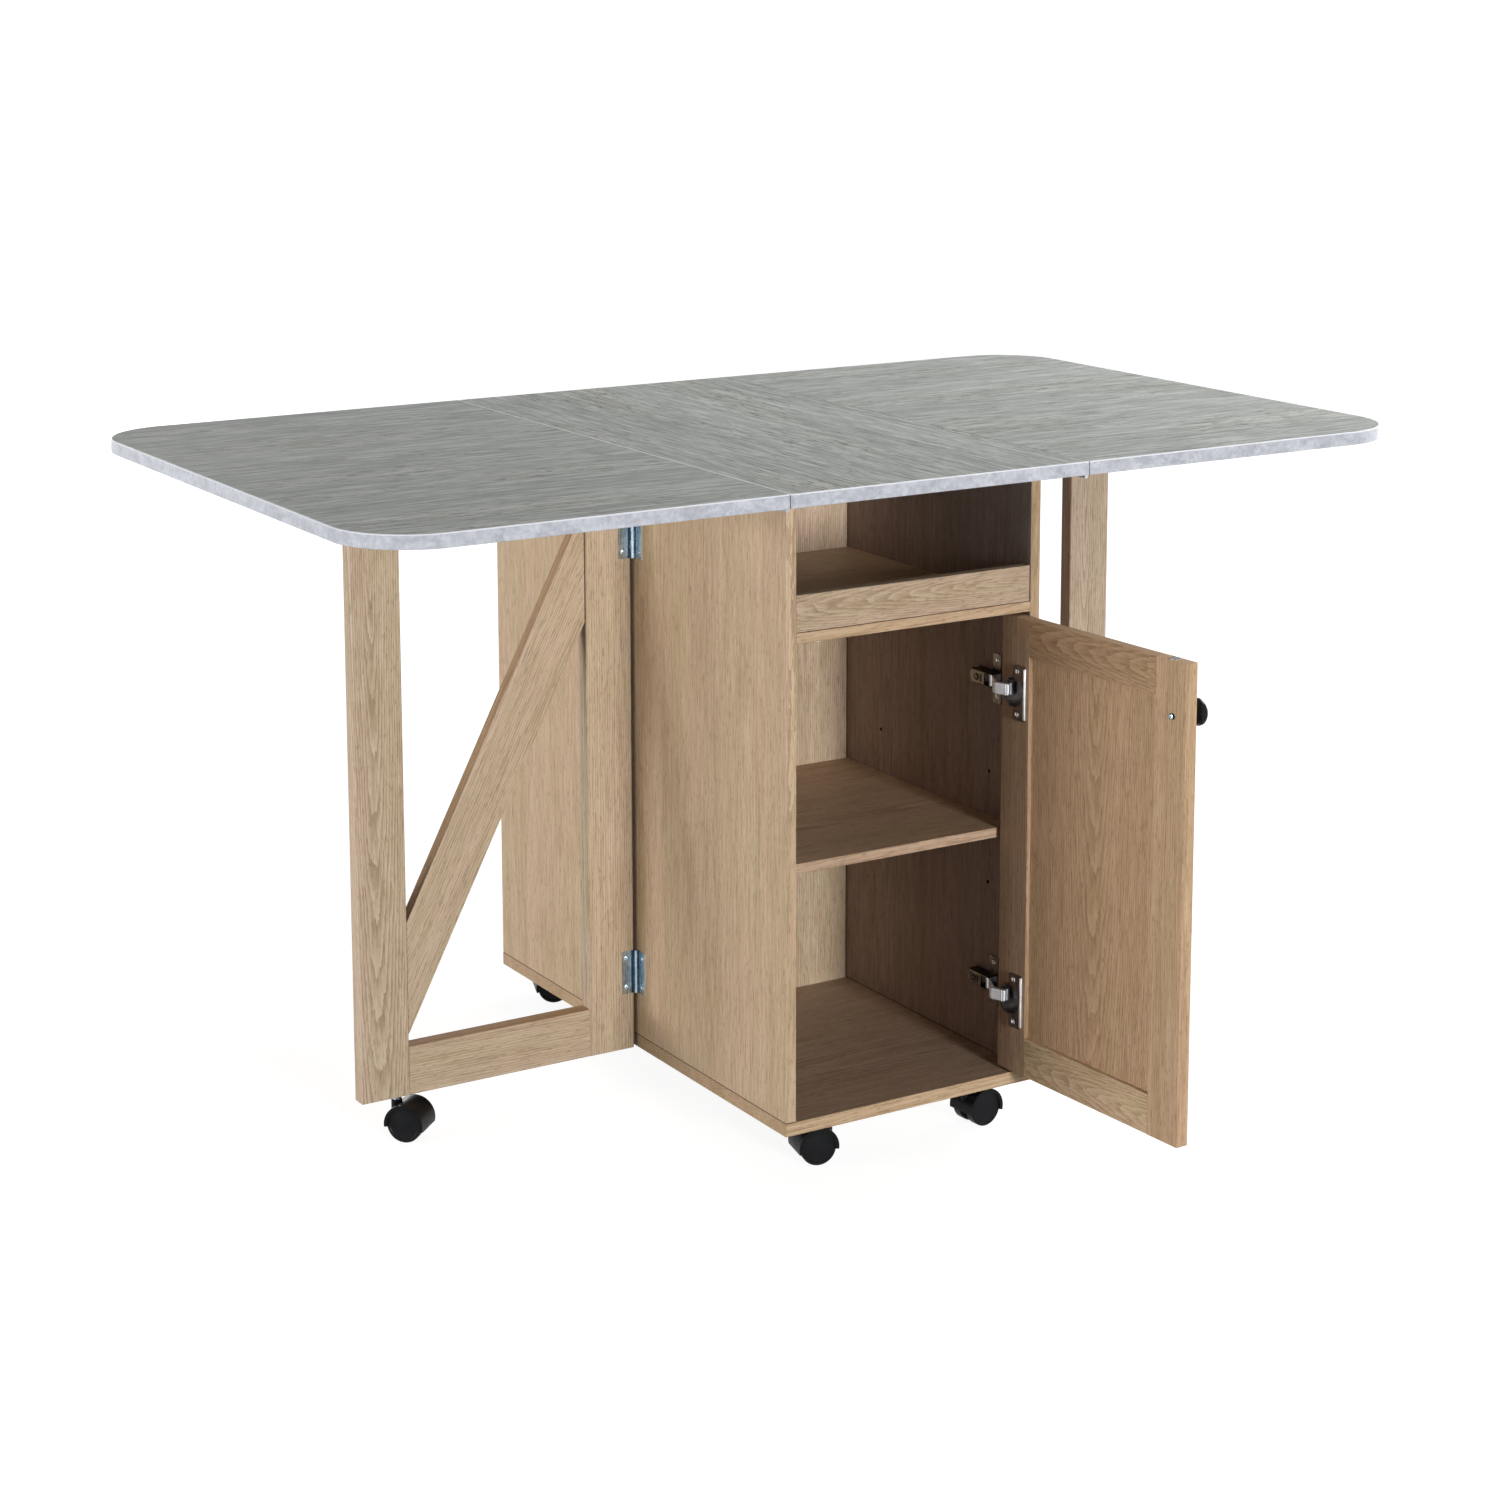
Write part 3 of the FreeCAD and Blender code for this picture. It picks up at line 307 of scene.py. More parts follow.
def stretched(tree, vector, across, along):
    """Coordinates scaled so that a pattern is fine across the grain and long along it."""
    mapping = tree.nodes.new("ShaderNodeMapping")
    mapping.inputs["Scale"].default_value = (across, across, along)
    tree.links.new(vector, mapping.inputs["Vector"])
    return mapping.outputs["Vector"]


def split_by_axis(tree):
    """Object coordinates, as one vector and split into X, Y and Z."""
    place = tree.nodes.new("ShaderNodeTexCoord").outputs["Object"]
    parts = tree.nodes.new("ShaderNodeSeparateXYZ")
    tree.links.new(place, parts.inputs["Vector"])
    return place, parts.outputs


def noise(tree, place, across, along, detail, roughness, distortion=0.0):
    """Cloudy values around 0.5, with a scale across the grain and one along it."""
    vector = stretched(tree, place, across, along)
    texture = tree.nodes.new("ShaderNodeTexNoise")
    set_inputs(texture, {
        "Scale": 1.0, "Detail": detail, "Roughness": roughness, "Distortion": distortion})
    tree.links.new(vector, texture.inputs["Vector"])
    return texture.outputs["Fac"]


def ramp(tree, value, stops):
    """Colour along a line of (position, colour) stops."""
    node = tree.nodes.new("ShaderNodeValToRGB")
    elements = node.color_ramp.elements
    while len(elements) < len(stops):
        elements.new(0.5)
    for element, (position, colour) in zip(elements, stops):
        element.position = position
        element.color = colour
    tree.links.new(value, node.inputs["Fac"])
    return node.outputs["Color"]


def grey(level):
    """Grey of one level."""
    return (level, level, level, 1.0)


def maths(tree, operation, first, second):
    """One arithmetic step; each side is an output or a plain number."""
    node = tree.nodes.new("ShaderNodeMath")
    node.operation = operation
    for socket, value in zip(node.inputs, (first, second)):
        if isinstance(value, (int, float)):
            socket.default_value = value
        else:
            tree.links.new(value, socket)
    return node.outputs[0]


def layered(tree, layers):
    """An even 0.5, plus each layer's distance from 0.5 times the layer's weight."""
    tone = 0.5
    for value, weight in layers:
        share = maths(tree, "MULTIPLY", maths(tree, "SUBTRACT", value, 0.5), weight)
        tone = maths(tree, "ADD", tone, share)
    return tone


def blended(tree, amount, first, second, how="MIX"):
    """Mix of two colours; amount and the colours are outputs or plain values."""
    node = tree.nodes.new("ShaderNodeMix")
    node.data_type = "RGBA"
    node.blend_type = how
    sockets = (node.inputs[0], node.inputs[6], node.inputs[7])
    for socket, value in zip(sockets, (amount, first, second)):
        if isinstance(value, bpy.types.NodeSocket):
            tree.links.new(value, socket)
        else:
            socket.default_value = value
    return node.outputs[2]


def glossed(tree, shader, value, smooth, rough, low=0.3, high=0.7):
    """Roughness that goes from smooth to rough while a value goes from low to high."""
    gloss = ramp(tree, value, [(low, grey(smooth)), (high, grey(rough))])
    tree.links.new(gloss, shader.inputs["Roughness"])


def relief(tree, shader, height, depth):
    """Fine unevenness of a surface, depth in metres."""
    bump = tree.nodes.new("ShaderNodeBump")
    set_inputs(bump, {"Strength": 1.0, "Distance": depth})
    tree.links.new(height, bump.inputs["Height"])
    tree.links.new(bump.outputs["Normal"], shader.inputs["Normal"])


def dress(node, material):
    """Gives a construction node its finish, in every slot that it has."""
    for slot in nodes[node].material_slots:
        slot.material = material
    if not nodes[node].data.materials:
        nodes[node].data.materials.append(material)


print("finish helpers ready")

# %% [markdown]
# ## Oak-grain laminate
#
# The boards are faced with printed oak. Real oak shows three things at once: growth
# rings, which a flat-sawn board cuts into nested arches and a quarter-sawn board into
# straight lines; fine fibres a few millimetres apart; and short dark pores. A wave
# texture of rings about an axis gives all the ring patterns with one formula, because
# a board is just a plane at some distance from the heart of the trunk. The heart's
# place and a slight lean are chosen for each board, so no two boards match.

# %% Oak finish
oak_light = srgb(216, 197, 173)
oak_mid = srgb(200, 179, 153)
oak_warm = srgb(184, 161, 135)
oak_dark = srgb(158, 133, 108)
oak_pore = srgb(138, 113, 92)
oak_olive = srgb(190, 173, 141)
oak_rose = srgb(206, 179, 160)
oak_tones = [(0.26, oak_dark), (0.42, oak_warm), (0.56, oak_mid), (0.76, oak_light)]
oak_tints = [(0.40, oak_olive), (0.60, oak_rose)]
oak_tint_amount = 0.34

ring_wobble = {"Distortion": 7.5, "Detail": 4.0, "Detail Scale": 0.42, "Detail Roughness": 0.65}
ring_stretch = 0.15
print_step = 3.7
oak_clouds = (34.0, 1.8, 4.0, 0.6)
oak_streaks = (60.0, 1.6, 5.0, 0.72)
oak_fibres = (330.0, 14.0, 4.0, 0.72)
oak_pores = (620.0, 85.0, 2.0, 0.6)
streak_weight = 0.56
fibre_weight = 1.10
pore_crowding = 0.06
pore_levels = [(0.52, grey(0.0)), (0.64, grey(1.0))]
pore_amount = 0.46
oak_gloss = (0.46, 0.58)
oak_relief = 0.00006


def ring_pattern(tree, place, scale):
    """Growth rings about the z axis, each fading from dark to light and starting again."""
    rings = tree.nodes.new("ShaderNodeTexWave")
    rings.wave_type = "RINGS"
    rings.rings_direction = "Z"
    rings.wave_profile = "SAW"
    set_inputs(rings, {"Scale": scale, **ring_wobble})
    tree.links.new(stretched(tree, place, 1.0, ring_stretch), rings.inputs["Vector"])
    return rings.outputs["Fac"]


def oak_finish(name, centre, along, thick, heart, lean, seed, arches, tone_and_painted_shade):
    """Oak print: rings about a leaning axis, streaks, fibres and short pores.

    Each layer adds its share above or below an even tone, and the tone picks a colour
    from dark to light. The pores are dashes that crowd where the rings are dark.
    """
    material, tree, shader = new_finish(name, specular=0.12)
    ring_weight, ring_scale = arches
    offset = (*heart, seed * print_step)
    place = placed_pattern(tree, grain_frame(along, thick, lean), centre, offset)
    rings = ring_pattern(tree, place, ring_scale)
    clouds, streaks, fibres, pores = (
        noise(tree, place, *layer) for layer in (oak_clouds, oak_streaks, oak_fibres, oak_pores))

    tone = layered(tree, (
        (rings, ring_weight), (streaks, streak_weight), (fibres, fibre_weight)))
    colour = ramp(tree, tone, oak_tones)
    colour = blended(tree, oak_tint_amount, colour, ramp(tree, clouds, oak_tints))
    crowding = maths(tree, "SUBTRACT", pores, maths(tree, "MULTIPLY", rings, pore_crowding))
    pore_mask = ramp(tree, crowding, pore_levels)
    colour = blended(tree, maths(tree, "MULTIPLY", pore_mask, pore_amount), colour, oak_pore)
    # The board's tone and painted shade multiply the print.
    colour = blended(tree, 1.0, colour, tone_and_painted_shade, "MULTIPLY")
    tree.links.new(colour, shader.inputs["Base Color"])

    glossed(tree, shader, fibres, *oak_gloss)
    relief(tree, shader, maths(tree, "SUBTRACT", fibres, pore_mask), oak_relief)
    return material


print("oak finish ready")

# %% [markdown]
# Each board gets its own print. The list below reads like a cutting list: the board,
# the way its grain runs, the way its face looks, where the heart of the trunk lies
# (sideways and behind the face, in metres), how much the trunk leans, and how strong
# and how close the rings are. Clear, close rings and a strong lean give a short board
# the nested arches of a flat cut.

# %% Oak boards
flat_sawn = (0.004, 0.030)
off_centre = (0.045, 0.040)
quarter_sawn = (0.210, 0.060)
rift_sawn = (0.120, 0.020)
no_lean = 0.012
slight_lean = 0.045
strong_lean = 0.075
bold_rings = (0.52, 120.0)
clear_rings = (0.38, 150.0)
fine_rings = (0.36, 150.0)
close_rings = (0.34, 110.0)
plain_rings = (0.32, 105.0)
faint_rings = (0.20, 95.0)
# These colours multiply each board's oak print. The left side panel's only corrects its tone. The
# others are painted shade: the door and the right leg darker and warmer, the door's top rail and
# hinge stile darker still, its bottom rail lighter than the rest of the door, and the lip rail,
# the right side panel and the front middle shelf darker.
no_painted_shade = (1.0, 1.0, 1.0, 1.0)
group_painted_shades = {"right_leg_": (0.88, 0.89, 0.93, 1.0), "door_": (0.94, 0.83, 0.71, 1.0)}
board_tones_and_painted_shades = {
    "niche_lip_rail": (0.88, 0.86, 0.85, 1.0),
    "left_side_panel": (1.02, 0.985, 0.92, 1.0),
    "right_side_panel": (0.88, 0.86, 0.88, 1.0),
    "front_middle_shelf": (0.90, 0.84, 0.82, 1.0),
    "door_top_rail": (0.74, 0.62, 0.51, 1.0),
    "door_bottom_rail": (1.0, 0.93, 0.83, 1.0),
    "door_hinge_stile": (0.78, 0.68, 0.62, 1.0),
    "door_panel": (0.93, 0.79, 0.67, 1.0),
}
end_slice = 0.001


def brace_direction(node):
    """Direction of a slanting bar, from the middles of its two upright ends."""
    points = corners(node)
    left = points[points[:, 0] < points[:, 0].min() + end_slice].mean(axis=0)
    right = points[points[:, 0] > points[:, 0].max() - end_slice].mean(axis=0)
    return Vector(right - left).normalized()


def tone_and_painted_shade_for(node):
    """A board's own tone and painted shade, or its group's painted shade, or none."""
    group = [tone_and_painted_shade for start, tone_and_painted_shade in group_painted_shades.items() if node.startswith(start)]
    return board_tones_and_painted_shades.get(node, group[0] if group else no_painted_shade)


oak_boards = [
    ("bottom_board", X, Z, quarter_sawn, no_lean, plain_rings),
    ("left_side_panel", Z, X, (0.02, 0.034), 0.035, close_rings),
    ("right_side_panel", Z, X, (-0.05, 0.040), 0.030, faint_rings),
    ("centre_partition", Z, Y, (0.06, 0.030), 0.060, plain_rings),
    ("niche_shelf", X, Z, rift_sawn, slight_lean, faint_rings),
    ("niche_lip_rail", X, Y, (0.006, 0.018), strong_lean, fine_rings),
    ("front_middle_shelf", X, Z, off_centre, no_lean, plain_rings),
    ("rear_upper_shelf", X, Z, rift_sawn, slight_lean, faint_rings),
    ("rear_middle_shelf", X, Z, off_centre, slight_lean, plain_rings),
    ("door_hinge_stile", Z, door_inward, quarter_sawn, no_lean, faint_rings),
    ("door_free_stile", Z, door_inward, rift_sawn, no_lean, faint_rings),
    ("door_bottom_rail", door_across, door_inward, (0.006, 0.020), strong_lean, clear_rings),
    ("door_top_rail", door_across, door_inward, (-0.004, 0.024), strong_lean, clear_rings),
    ("door_panel", Z, door_inward, flat_sawn, 0.060, plain_rings),
]
for leg in ("left_leg_", "right_leg_"):
    oak_boards += [
        (leg + "outer_post", Z, Y, (0.006, 0.022), slight_lean, bold_rings),
        (leg + "inner_post", Z, Y, quarter_sawn, no_lean, plain_rings),
        (leg + "bottom_rail", X, Y, rift_sawn, no_lean, plain_rings),
        (leg + "brace", brace_direction(leg + "brace"), Y, quarter_sawn, no_lean, plain_rings),
    ]
for number, (node, along, thick, heart, lean, arches) in enumerate(oak_boards):
    dress(node, oak_finish(
        "oak_" + node, middle(node), along, thick, heart, lean, number + 1, arches,
        tone_and_painted_shade_for(node)))
print("oak boards", len(oak_boards))

# %% [markdown]
# ### Joint lines, edges and painted shade
#
# Where two boards meet flush, dirt and shade draw a hair-thin dark line, and an edge strip never
# has quite the tone of the face beside it. Both are painted as bands: the part of a board between
# two levels of one axis gets a colour of its own, or is tinted. The same bands also paint shade
# and light: painted shade on the cabinet's floor and right inner wall, the braces' edges, the
# rails' tops and the right leg's inner side, and painted light on the back of the niche. The pin
# holes get painted shade by depth: all that lies a little below a panel's inner face.

# %% Joint lines, edge tones and painted shade
joint_line = 0.0010
skin = 0.0005
joint_colour = srgb(84, 66, 52)
hole_start = 0.0006
hole_end = 0.0086
hole_painted_shade = srgb(24, 19, 16)
rim_margin = 0.0015
niche_painted_light = (1.22, 1.20, 1.26)
brace_edge_painted_shade = (0.82, 0.67, 0.53)
edge_tint = (1.0, 0.93, 0.83)
rail_top_painted_shade = (0.86, 0.72, 0.55)


def draw_region(node, ranges, colour, how="MIX"):
    """Paints or tints the part of a node that lies between two levels of each axis."""
    tree = nodes[node].material_slots[0].material.node_tree
    shader = tree.nodes["Principled BSDF"]
    before = shader.inputs["Base Color"].links[0].from_socket
    levels = split_by_axis(tree)[1]
    inside = 1.0
    for axis, (low, high) in ranges.items():
        above = maths(tree, "GREATER_THAN", levels[axis], low)
        below = maths(tree, "LESS_THAN", levels[axis], high)
        inside = maths(tree, "MULTIPLY", inside, maths(tree, "MULTIPLY", above, below))
    tree.links.new(blended(tree, inside, before, colour, how), shader.inputs["Base Color"])


def paint_band(node, axis, low, high, colour):
    """Gives the part of a node between two levels of one axis a colour of its own."""
    draw_region(node, {axis: (low, high)}, colour)


def tint_band(node, axis, low, high, tint):
    """Multiplies the colour between two levels of one axis by a tint."""
    draw_region(node, {axis: (low, high)}, (*tint, 1.0), "MULTIPLY")


def face_level(node, axis, way):
    """Level of the face of a node's box that looks down (-1) or up (1) an axis."""
    low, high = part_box(node)
    return getattr(low if way < 0 else high, axis.lower())


def joint_at(node, axis, way):
    """Dark hairline at a board's lower (-1) or upper (1) end, running into the board."""
    level = face_level(node, axis, way)
    far = level - way * joint_line
    paint_band(node, axis, min(level, far) - skin, max(level, far), joint_colour)


def paint_hole_shade(node, way):
    """Paints shade on what lies below a panel's inner face and away from its rims: its holes."""
    low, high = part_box(node)
    inner = face_level(node, "X", way)
    draw_region(node, {
        "X": sorted(inner - way * depth for depth in (hole_start, hole_end)),
        "Y": (low.y + rim_margin, high.y - rim_margin),
        "Z": (low.z + rim_margin, high.z - rim_margin)}, hole_painted_shade)


def tint_face(node, axis, way, tint):
    """Tints the face of a board that looks down (-1) or up (1) an axis."""
    level = face_level(node, axis, way)
    tint_band(node, axis, level - skin, level + skin, tint)


joints_at = [
    ("niche_lip_rail", "Z", -1),
    ("niche_lip_rail", "X", 1),
    ("centre_partition", "X", 1),
    ("left_side_panel", "Z", -1),
    ("right_side_panel", "Z", -1),
    ("left_leg_brace", "X", 1),
    ("right_leg_brace", "X", -1),
]
for node, axis, way in joints_at:
    joint_at(node, axis, way)
# Painted shade in the pin holes of both side panels.
paint_hole_shade("left_side_panel", 1)
paint_hole_shade("right_side_panel", -1)

# Painted light: the centre partition's back in the niche, above the lip rail, is made lighter.
tint_band("centre_partition", "Z", face_level("niche_lip_rail", "Z", -1),
          face_level("centre_partition", "Z", 1) + skin, niche_painted_light)
# Painted shade on the braces' edge faces, all but their front and back faces.
for side in ("left", "right"):
    low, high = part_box(side + "_leg_brace")
    tint_band(side + "_leg_brace", "Y", low.y + skin, high.y - skin, brace_edge_painted_shade)
# Painted shade: the right side panel's inner face, the cabinet floor's top, the bottom rails'
# tops, and the side of the right leg's outer post that faces the cabinet. The edge tints and the
# bottom board's left side tint are the boards' own tones.
face_tones_and_painted_shades = [
    ("right_side_panel", "X", -1, (0.76, 0.79, 0.98)),
    ("right_side_panel", "Y", -1, edge_tint),
    ("niche_shelf", "Y", -1, edge_tint),
    ("bottom_board", "Z", 1, (0.76, 0.72, 0.74)),
    ("bottom_board", "X", -1, (0.88, 0.80, 0.69)),
    ("bottom_board", "Y", -1, edge_tint),
    ("left_leg_bottom_rail", "Z", 1, rail_top_painted_shade),
    ("right_leg_bottom_rail", "Z", 1, rail_top_painted_shade),
    ("right_leg_outer_post", "X", -1, (0.62, 0.54, 0.52)),
]
for node, axis, way, tint in face_tones_and_painted_shades:
    tint_face(node, axis, way, tint)
print("joint lines", len(joints_at), "tinted faces", len(face_tones_and_painted_shades))

# %% [markdown]
# ## Stone-look top
#
# The top is a grey travertine print: slow bands, long streaks, fine threads and short darker
# dashes, all along one direction. The leaves' streaks run along the table and the fixed panel's
# run across it, which is what makes the seams visible from far away. A thin pale line along the
# fixed panel's left edge is a painted highlight, where light catches that edge at the seam.

# %% Top finish
stone_light = srgb(210, 212, 208)
stone_mid = srgb(178, 180, 176)
stone_dark = srgb(142, 144, 139)
stone_dash = srgb(116, 117, 111)
stone_blue = srgb(172, 177, 179)
stone_buff = srgb(184, 184, 175)
stone_tones = [(0.32, stone_dark), (0.50, stone_mid), (0.68, stone_light)]
stone_tints = [(0.36, stone_blue), (0.64, stone_buff)]
stone_tint_amount = 0.24

stone_bands = (17.0, 0.9, 3.0, 0.55)
stone_streaks = (75.0, 3.2, 4.0, 0.65)
stone_threads = (240.0, 13.0, 4.0, 0.74)
stone_dashes = (240.0, 42.0, 3.0, 0.6)
stone_patches = (14.0, 2.4, 2.0, 0.5)
band_weight = 0.28
stone_streak_weight = 0.40
thread_weight = 1.45
dash_levels = [(0.555, grey(0.0)), (0.625, grey(1.0))]
patch_levels = [(0.40, grey(0.25)), (0.62, grey(1.0))]
dash_amount = 0.75
stone_gloss = (0.56, 0.68)
stone_relief = 0.00004
stone_step_across = 1.9
stone_step_along = 2.3
seam_highlight_width = 0.0024
seam_highlight_colour = srgb(244, 245, 242)


def stone_finish(name, centre, along, seed):
    """Travertine print: streaks of three widths, dark dashes and a slow tint."""
    material, tree, shader = new_finish(name, specular=0.05)
    offset = (seed * stone_step_across, 0.0, seed * stone_step_along)
    place = placed_pattern(tree, grain_frame(along, Z), centre, offset)
    bands, streaks, threads, dashes, patches = (noise(tree, place, *layer) for layer in (
        stone_bands, stone_streaks, stone_threads, stone_dashes, stone_patches))
    tone = layered(tree, (
        (bands, band_weight), (streaks, stone_streak_weight), (threads, thread_weight)))
    colour = ramp(tree, tone, stone_tones)
    colour = blended(tree, stone_tint_amount, colour, ramp(tree, patches, stone_tints))
    dash_mask = ramp(tree, dashes, dash_levels)
    amount = maths(tree, "MULTIPLY", dash_mask, ramp(tree, patches, patch_levels))
    colour = blended(tree, maths(tree, "MULTIPLY", amount, dash_amount), colour, stone_dash)
    tree.links.new(colour, shader.inputs["Base Color"])
    glossed(tree, shader, streaks, *stone_gloss)
    relief(tree, shader, maths(tree, "SUBTRACT", threads, amount), stone_relief)
    return material


top_panels = [("left_leaf_panel", X), ("right_leaf_panel", X), ("centre_top_panel", Y)]
for number, (node, along) in enumerate(top_panels):
    dress(node, stone_finish("stone_" + node, middle(node), along, number + 1))
centre_left = face_level("centre_top_panel", "X", -1)
# Painted highlight: a thin pale line along the fixed panel's left edge.
paint_band("centre_top_panel", "X", centre_left - skin, centre_left + seam_highlight_width, seam_highlight_colour)
print("top panels", len(top_panels))

# %% [markdown]
# ## Edge band
#
# A pale grey plastic strip is glued round the top's edge. It has a faint marbled print and a
# rounded arris, and a thin bright line along the top of the arris is a painted highlight.

# %% Edge band finish
band_light = srgb(212, 215, 222)
band_mid = srgb(195, 198, 206)
band_dark = srgb(176, 177, 187)
band_tones = [(0.36, band_dark), (0.50, band_mid), (0.62, band_light)]
band_clouds = (42.0, 60.0, 4.0, 0.62, 0.8)
band_specks = (240.0, 240.0, 3.0, 0.6)
cloud_share = 0.6
speck_share = 0.4
band_gloss = (0.30, 0.42)
band_relief = 0.00003
arris_highlight_width = 0.0012
arris_highlight_colour = srgb(236, 238, 243)


def band_finish():
    """Marbled print: two noises, large clouds and small specks."""
    material, tree, shader = new_finish("marbled_edge_band", specular=0.12)
    place = placed_pattern(tree)
    clouds = noise(tree, place, *band_clouds)
    specks = noise(tree, place, *band_specks)
    tone = maths(tree, "ADD", maths(tree, "MULTIPLY", clouds, cloud_share),
                 maths(tree, "MULTIPLY", specks, speck_share))
    tree.links.new(ramp(tree, tone, band_tones), shader.inputs["Base Color"])
    glossed(tree, shader, specks, *band_gloss)
    relief(tree, shader, specks, band_relief)
    return material


edge_band = band_finish()
for node in ("left_leaf_edge_band", "right_leaf_edge_band", "centre_top_edge_bands"):
    dress(node, edge_band)
# One material serves all three bands, so the painted arris highlight drawn on one is drawn on all.
top_level = face_level("left_leaf_edge_band", "Z", 1)
paint_band("left_leaf_edge_band", "Z", top_level - arris_highlight_width, top_level + skin, arris_highlight_colour)
print("edge bands dressed")

# %% [markdown]
# ## Plated metal
#
# One recipe makes every metal, each with its own pair of tones: bluish zinc on the butt hinges,
# the wood screws and the shelf pins; plain steel on the strips under the seams and on the castors'
# plates and stems; dark, smoky nickel on the cup hinges; bright chrome on their small screws and
# on the strike disc; and satin chrome on their links and rolled edges. All have faint rolling
# marks in the roughness, because perfectly even metal looks fake. The arms of the cup hinges are
# open channels, and the shade inside them is painted on as near black.

# %% Metal finishes
metal_stains = (60.0, 60.0, 3.0, 0.6, 0.5)
metal_marks = (900.0, 60.0, 2.0, 0.5)
dull_level = 0.36
bright_level = 0.62
metal_relief = 0.00002


def metal_finish(name, bright, dull, smooth, rough):
    """Metal whose colour and gloss vary between two values along fine rolling marks."""
    material, tree, shader = new_finish(name, metallic=1.0)
    place = placed_pattern(tree)
    stains = noise(tree, place, *metal_stains)
    marks = noise(tree, place, *metal_marks)
    colour = ramp(tree, stains, [(dull_level, dull), (bright_level, bright)])
    tree.links.new(colour, shader.inputs["Base Color"])
    glossed(tree, shader, marks, smooth, rough)
    relief(tree, shader, marks, metal_relief)
    return material


zinc_tones = (srgb(184, 200, 210), srgb(140, 162, 177), 0.20, 0.34)
zinc = metal_finish("bright_zinc", *zinc_tones)
strip_steel = metal_finish("strip_steel", srgb(196, 197, 200), srgb(164, 165, 170), 0.28, 0.42)
stem_steel = metal_finish("stem_steel", srgb(196, 202, 210), srgb(164, 170, 180), 0.20, 0.34)
smoky_nickel = metal_finish("smoky_nickel", srgb(150, 146, 144), srgb(116, 112, 111), 0.24, 0.38)
bright_chrome = metal_finish("bright_chrome", srgb(232, 234, 238), srgb(206, 210, 216), 0.10, 0.20)
satin_chrome = metal_finish("satin_chrome", srgb(240, 242, 245), srgb(222, 225, 230), 0.40, 0.52)

arm_face_depth = 0.0014
arm_stains = (160.0, 160.0, 3.0, 0.6)
arm_tones = [(0.36, srgb(128, 122, 118)), (0.64, srgb(164, 158, 152))]
arm_channel_painted_shade = srgb(44, 42, 42)
arm_gloss = (0.26, 0.40)


def arm_finish():
    """Smoky nickel on the arms' outer face, and painted shade, near black, where the channel turns
    inwards.
    """
    material, tree, shader = new_finish("arm_nickel", metallic=1.0)
    place, levels = split_by_axis(tree)
    depth = maths(tree, "SUBTRACT", levels["X"], face_level("door_hinge_arms", "X", -1))
    inside = maths(tree, "GREATER_THAN", depth, arm_face_depth)
    stains = noise(tree, place, *arm_stains)
    plated = ramp(tree, stains, arm_tones)
    # Painted shade, near black, inside the channel.
    tree.links.new(blended(tree, inside, plated, arm_channel_painted_shade), shader.inputs["Base Color"])
    glossed(tree, shader, stains, *arm_gloss)
    return material


metal_of = {
    "shelf_pins": zinc,
    "seam_hinge_fixed_wings": strip_steel,
    "left_leaf_hinge_wing": strip_steel,
    "right_leaf_hinge_wing": strip_steel,
    "leg_hinge_cabinet_wings": metal_finish("zinc_cabinet_wings", *zinc_tones),
    "left_leg_hinge_wings": metal_finish("zinc_left_leg_wings", *zinc_tones),
    "right_leg_hinge_wings": metal_finish("zinc_right_leg_wings", *zinc_tones),
    "cabinet_screws": zinc,
    "cabinet_castor_plates": stem_steel,
    "left_leg_castor_stem": stem_steel,
    "right_leg_castor_stem": stem_steel,
    "door_hinge_plates": smoky_nickel,
    "door_hinge_arms": arm_finish(),
    "door_hinge_cups": smoky_nickel,
    "door_hinge_links": satin_chrome,
    "door_strike_disc": bright_chrome,
}
for node, material in metal_of.items():
    dress(node, material)
print("metal nodes", len(metal_of))

# %% [markdown]
# A butt hinge's plate curls into its barrel. The curl turns away from the light and mirrors the
# dark gap behind it, and the plate's cut outer edge catches the light. Both are painted as bands:
# a painted shade and reflection beside the barrel, and a painted highlight along the edge.

# %% Curls and edges of the butt hinges
barrel_diameter = 0.0045
curl_width = 0.0034
curl_painted_shade = srgb(58, 74, 88)
cut_edge_highlight = srgb(238, 242, 245)
wings = "leg_hinge_cabinet_wings"
wings_low, wings_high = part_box(wings)
barrel_front = wings_high.y - barrel_diameter
# Painted shade and reflection on the curl, and a painted highlight on the cut edge.
paint_band(wings, "Y", barrel_front - curl_width, barrel_front, curl_painted_shade)
paint_band(wings, "Y", wings_low.y - skin, wings_low.y + skin, cut_edge_highlight)
for side, barrel_side in (("left", wings_low.x), ("right", wings_high.x)):
    far = barrel_side + math.copysign(curl_width, barrel_side)
    levels = sorted((barrel_side, far))
    paint_band(side + "_leg_hinge_wings", "X", *levels, curl_painted_shade)
print("hinge curls", curl_width * 1000, "mm")

# %% [markdown]
# ## Moulded plastic
#
# The castors are black nylon with a fine sparked texture, and their wheels are a shade
# greyer than the hoods. The knob is a glossier black, and the catch, bumper and rest
# pads are small plain mouldings.

# %% Plastic finishes
plastic_patches = (55.0, 55.0, 3.0, 0.6)
grain_detail = (2.0, 0.6)
fresh_level = 0.36
worn_level = 0.70
smooth_level = 0.35
rough_level = 0.68


def plastic_finish(name, colour, worn, gloss, specular, texture=700.0, depth=0.00004):
    """Moulded plastic: a sparked grain in the relief, slow patches in colour and gloss."""
    material, tree, shader = new_finish(name, specular=specular)
    place = placed_pattern(tree)
    grain = noise(tree, place, texture, texture, *grain_detail)
    patches = noise(tree, place, *plastic_patches)
    tones = ramp(tree, patches, [(fresh_level, colour), (worn_level, worn)])
    tree.links.new(tones, shader.inputs["Base Color"])
    glossed(tree, shader, patches, *gloss, smooth_level, rough_level)
    relief(tree, shader, grain, depth)
    return material


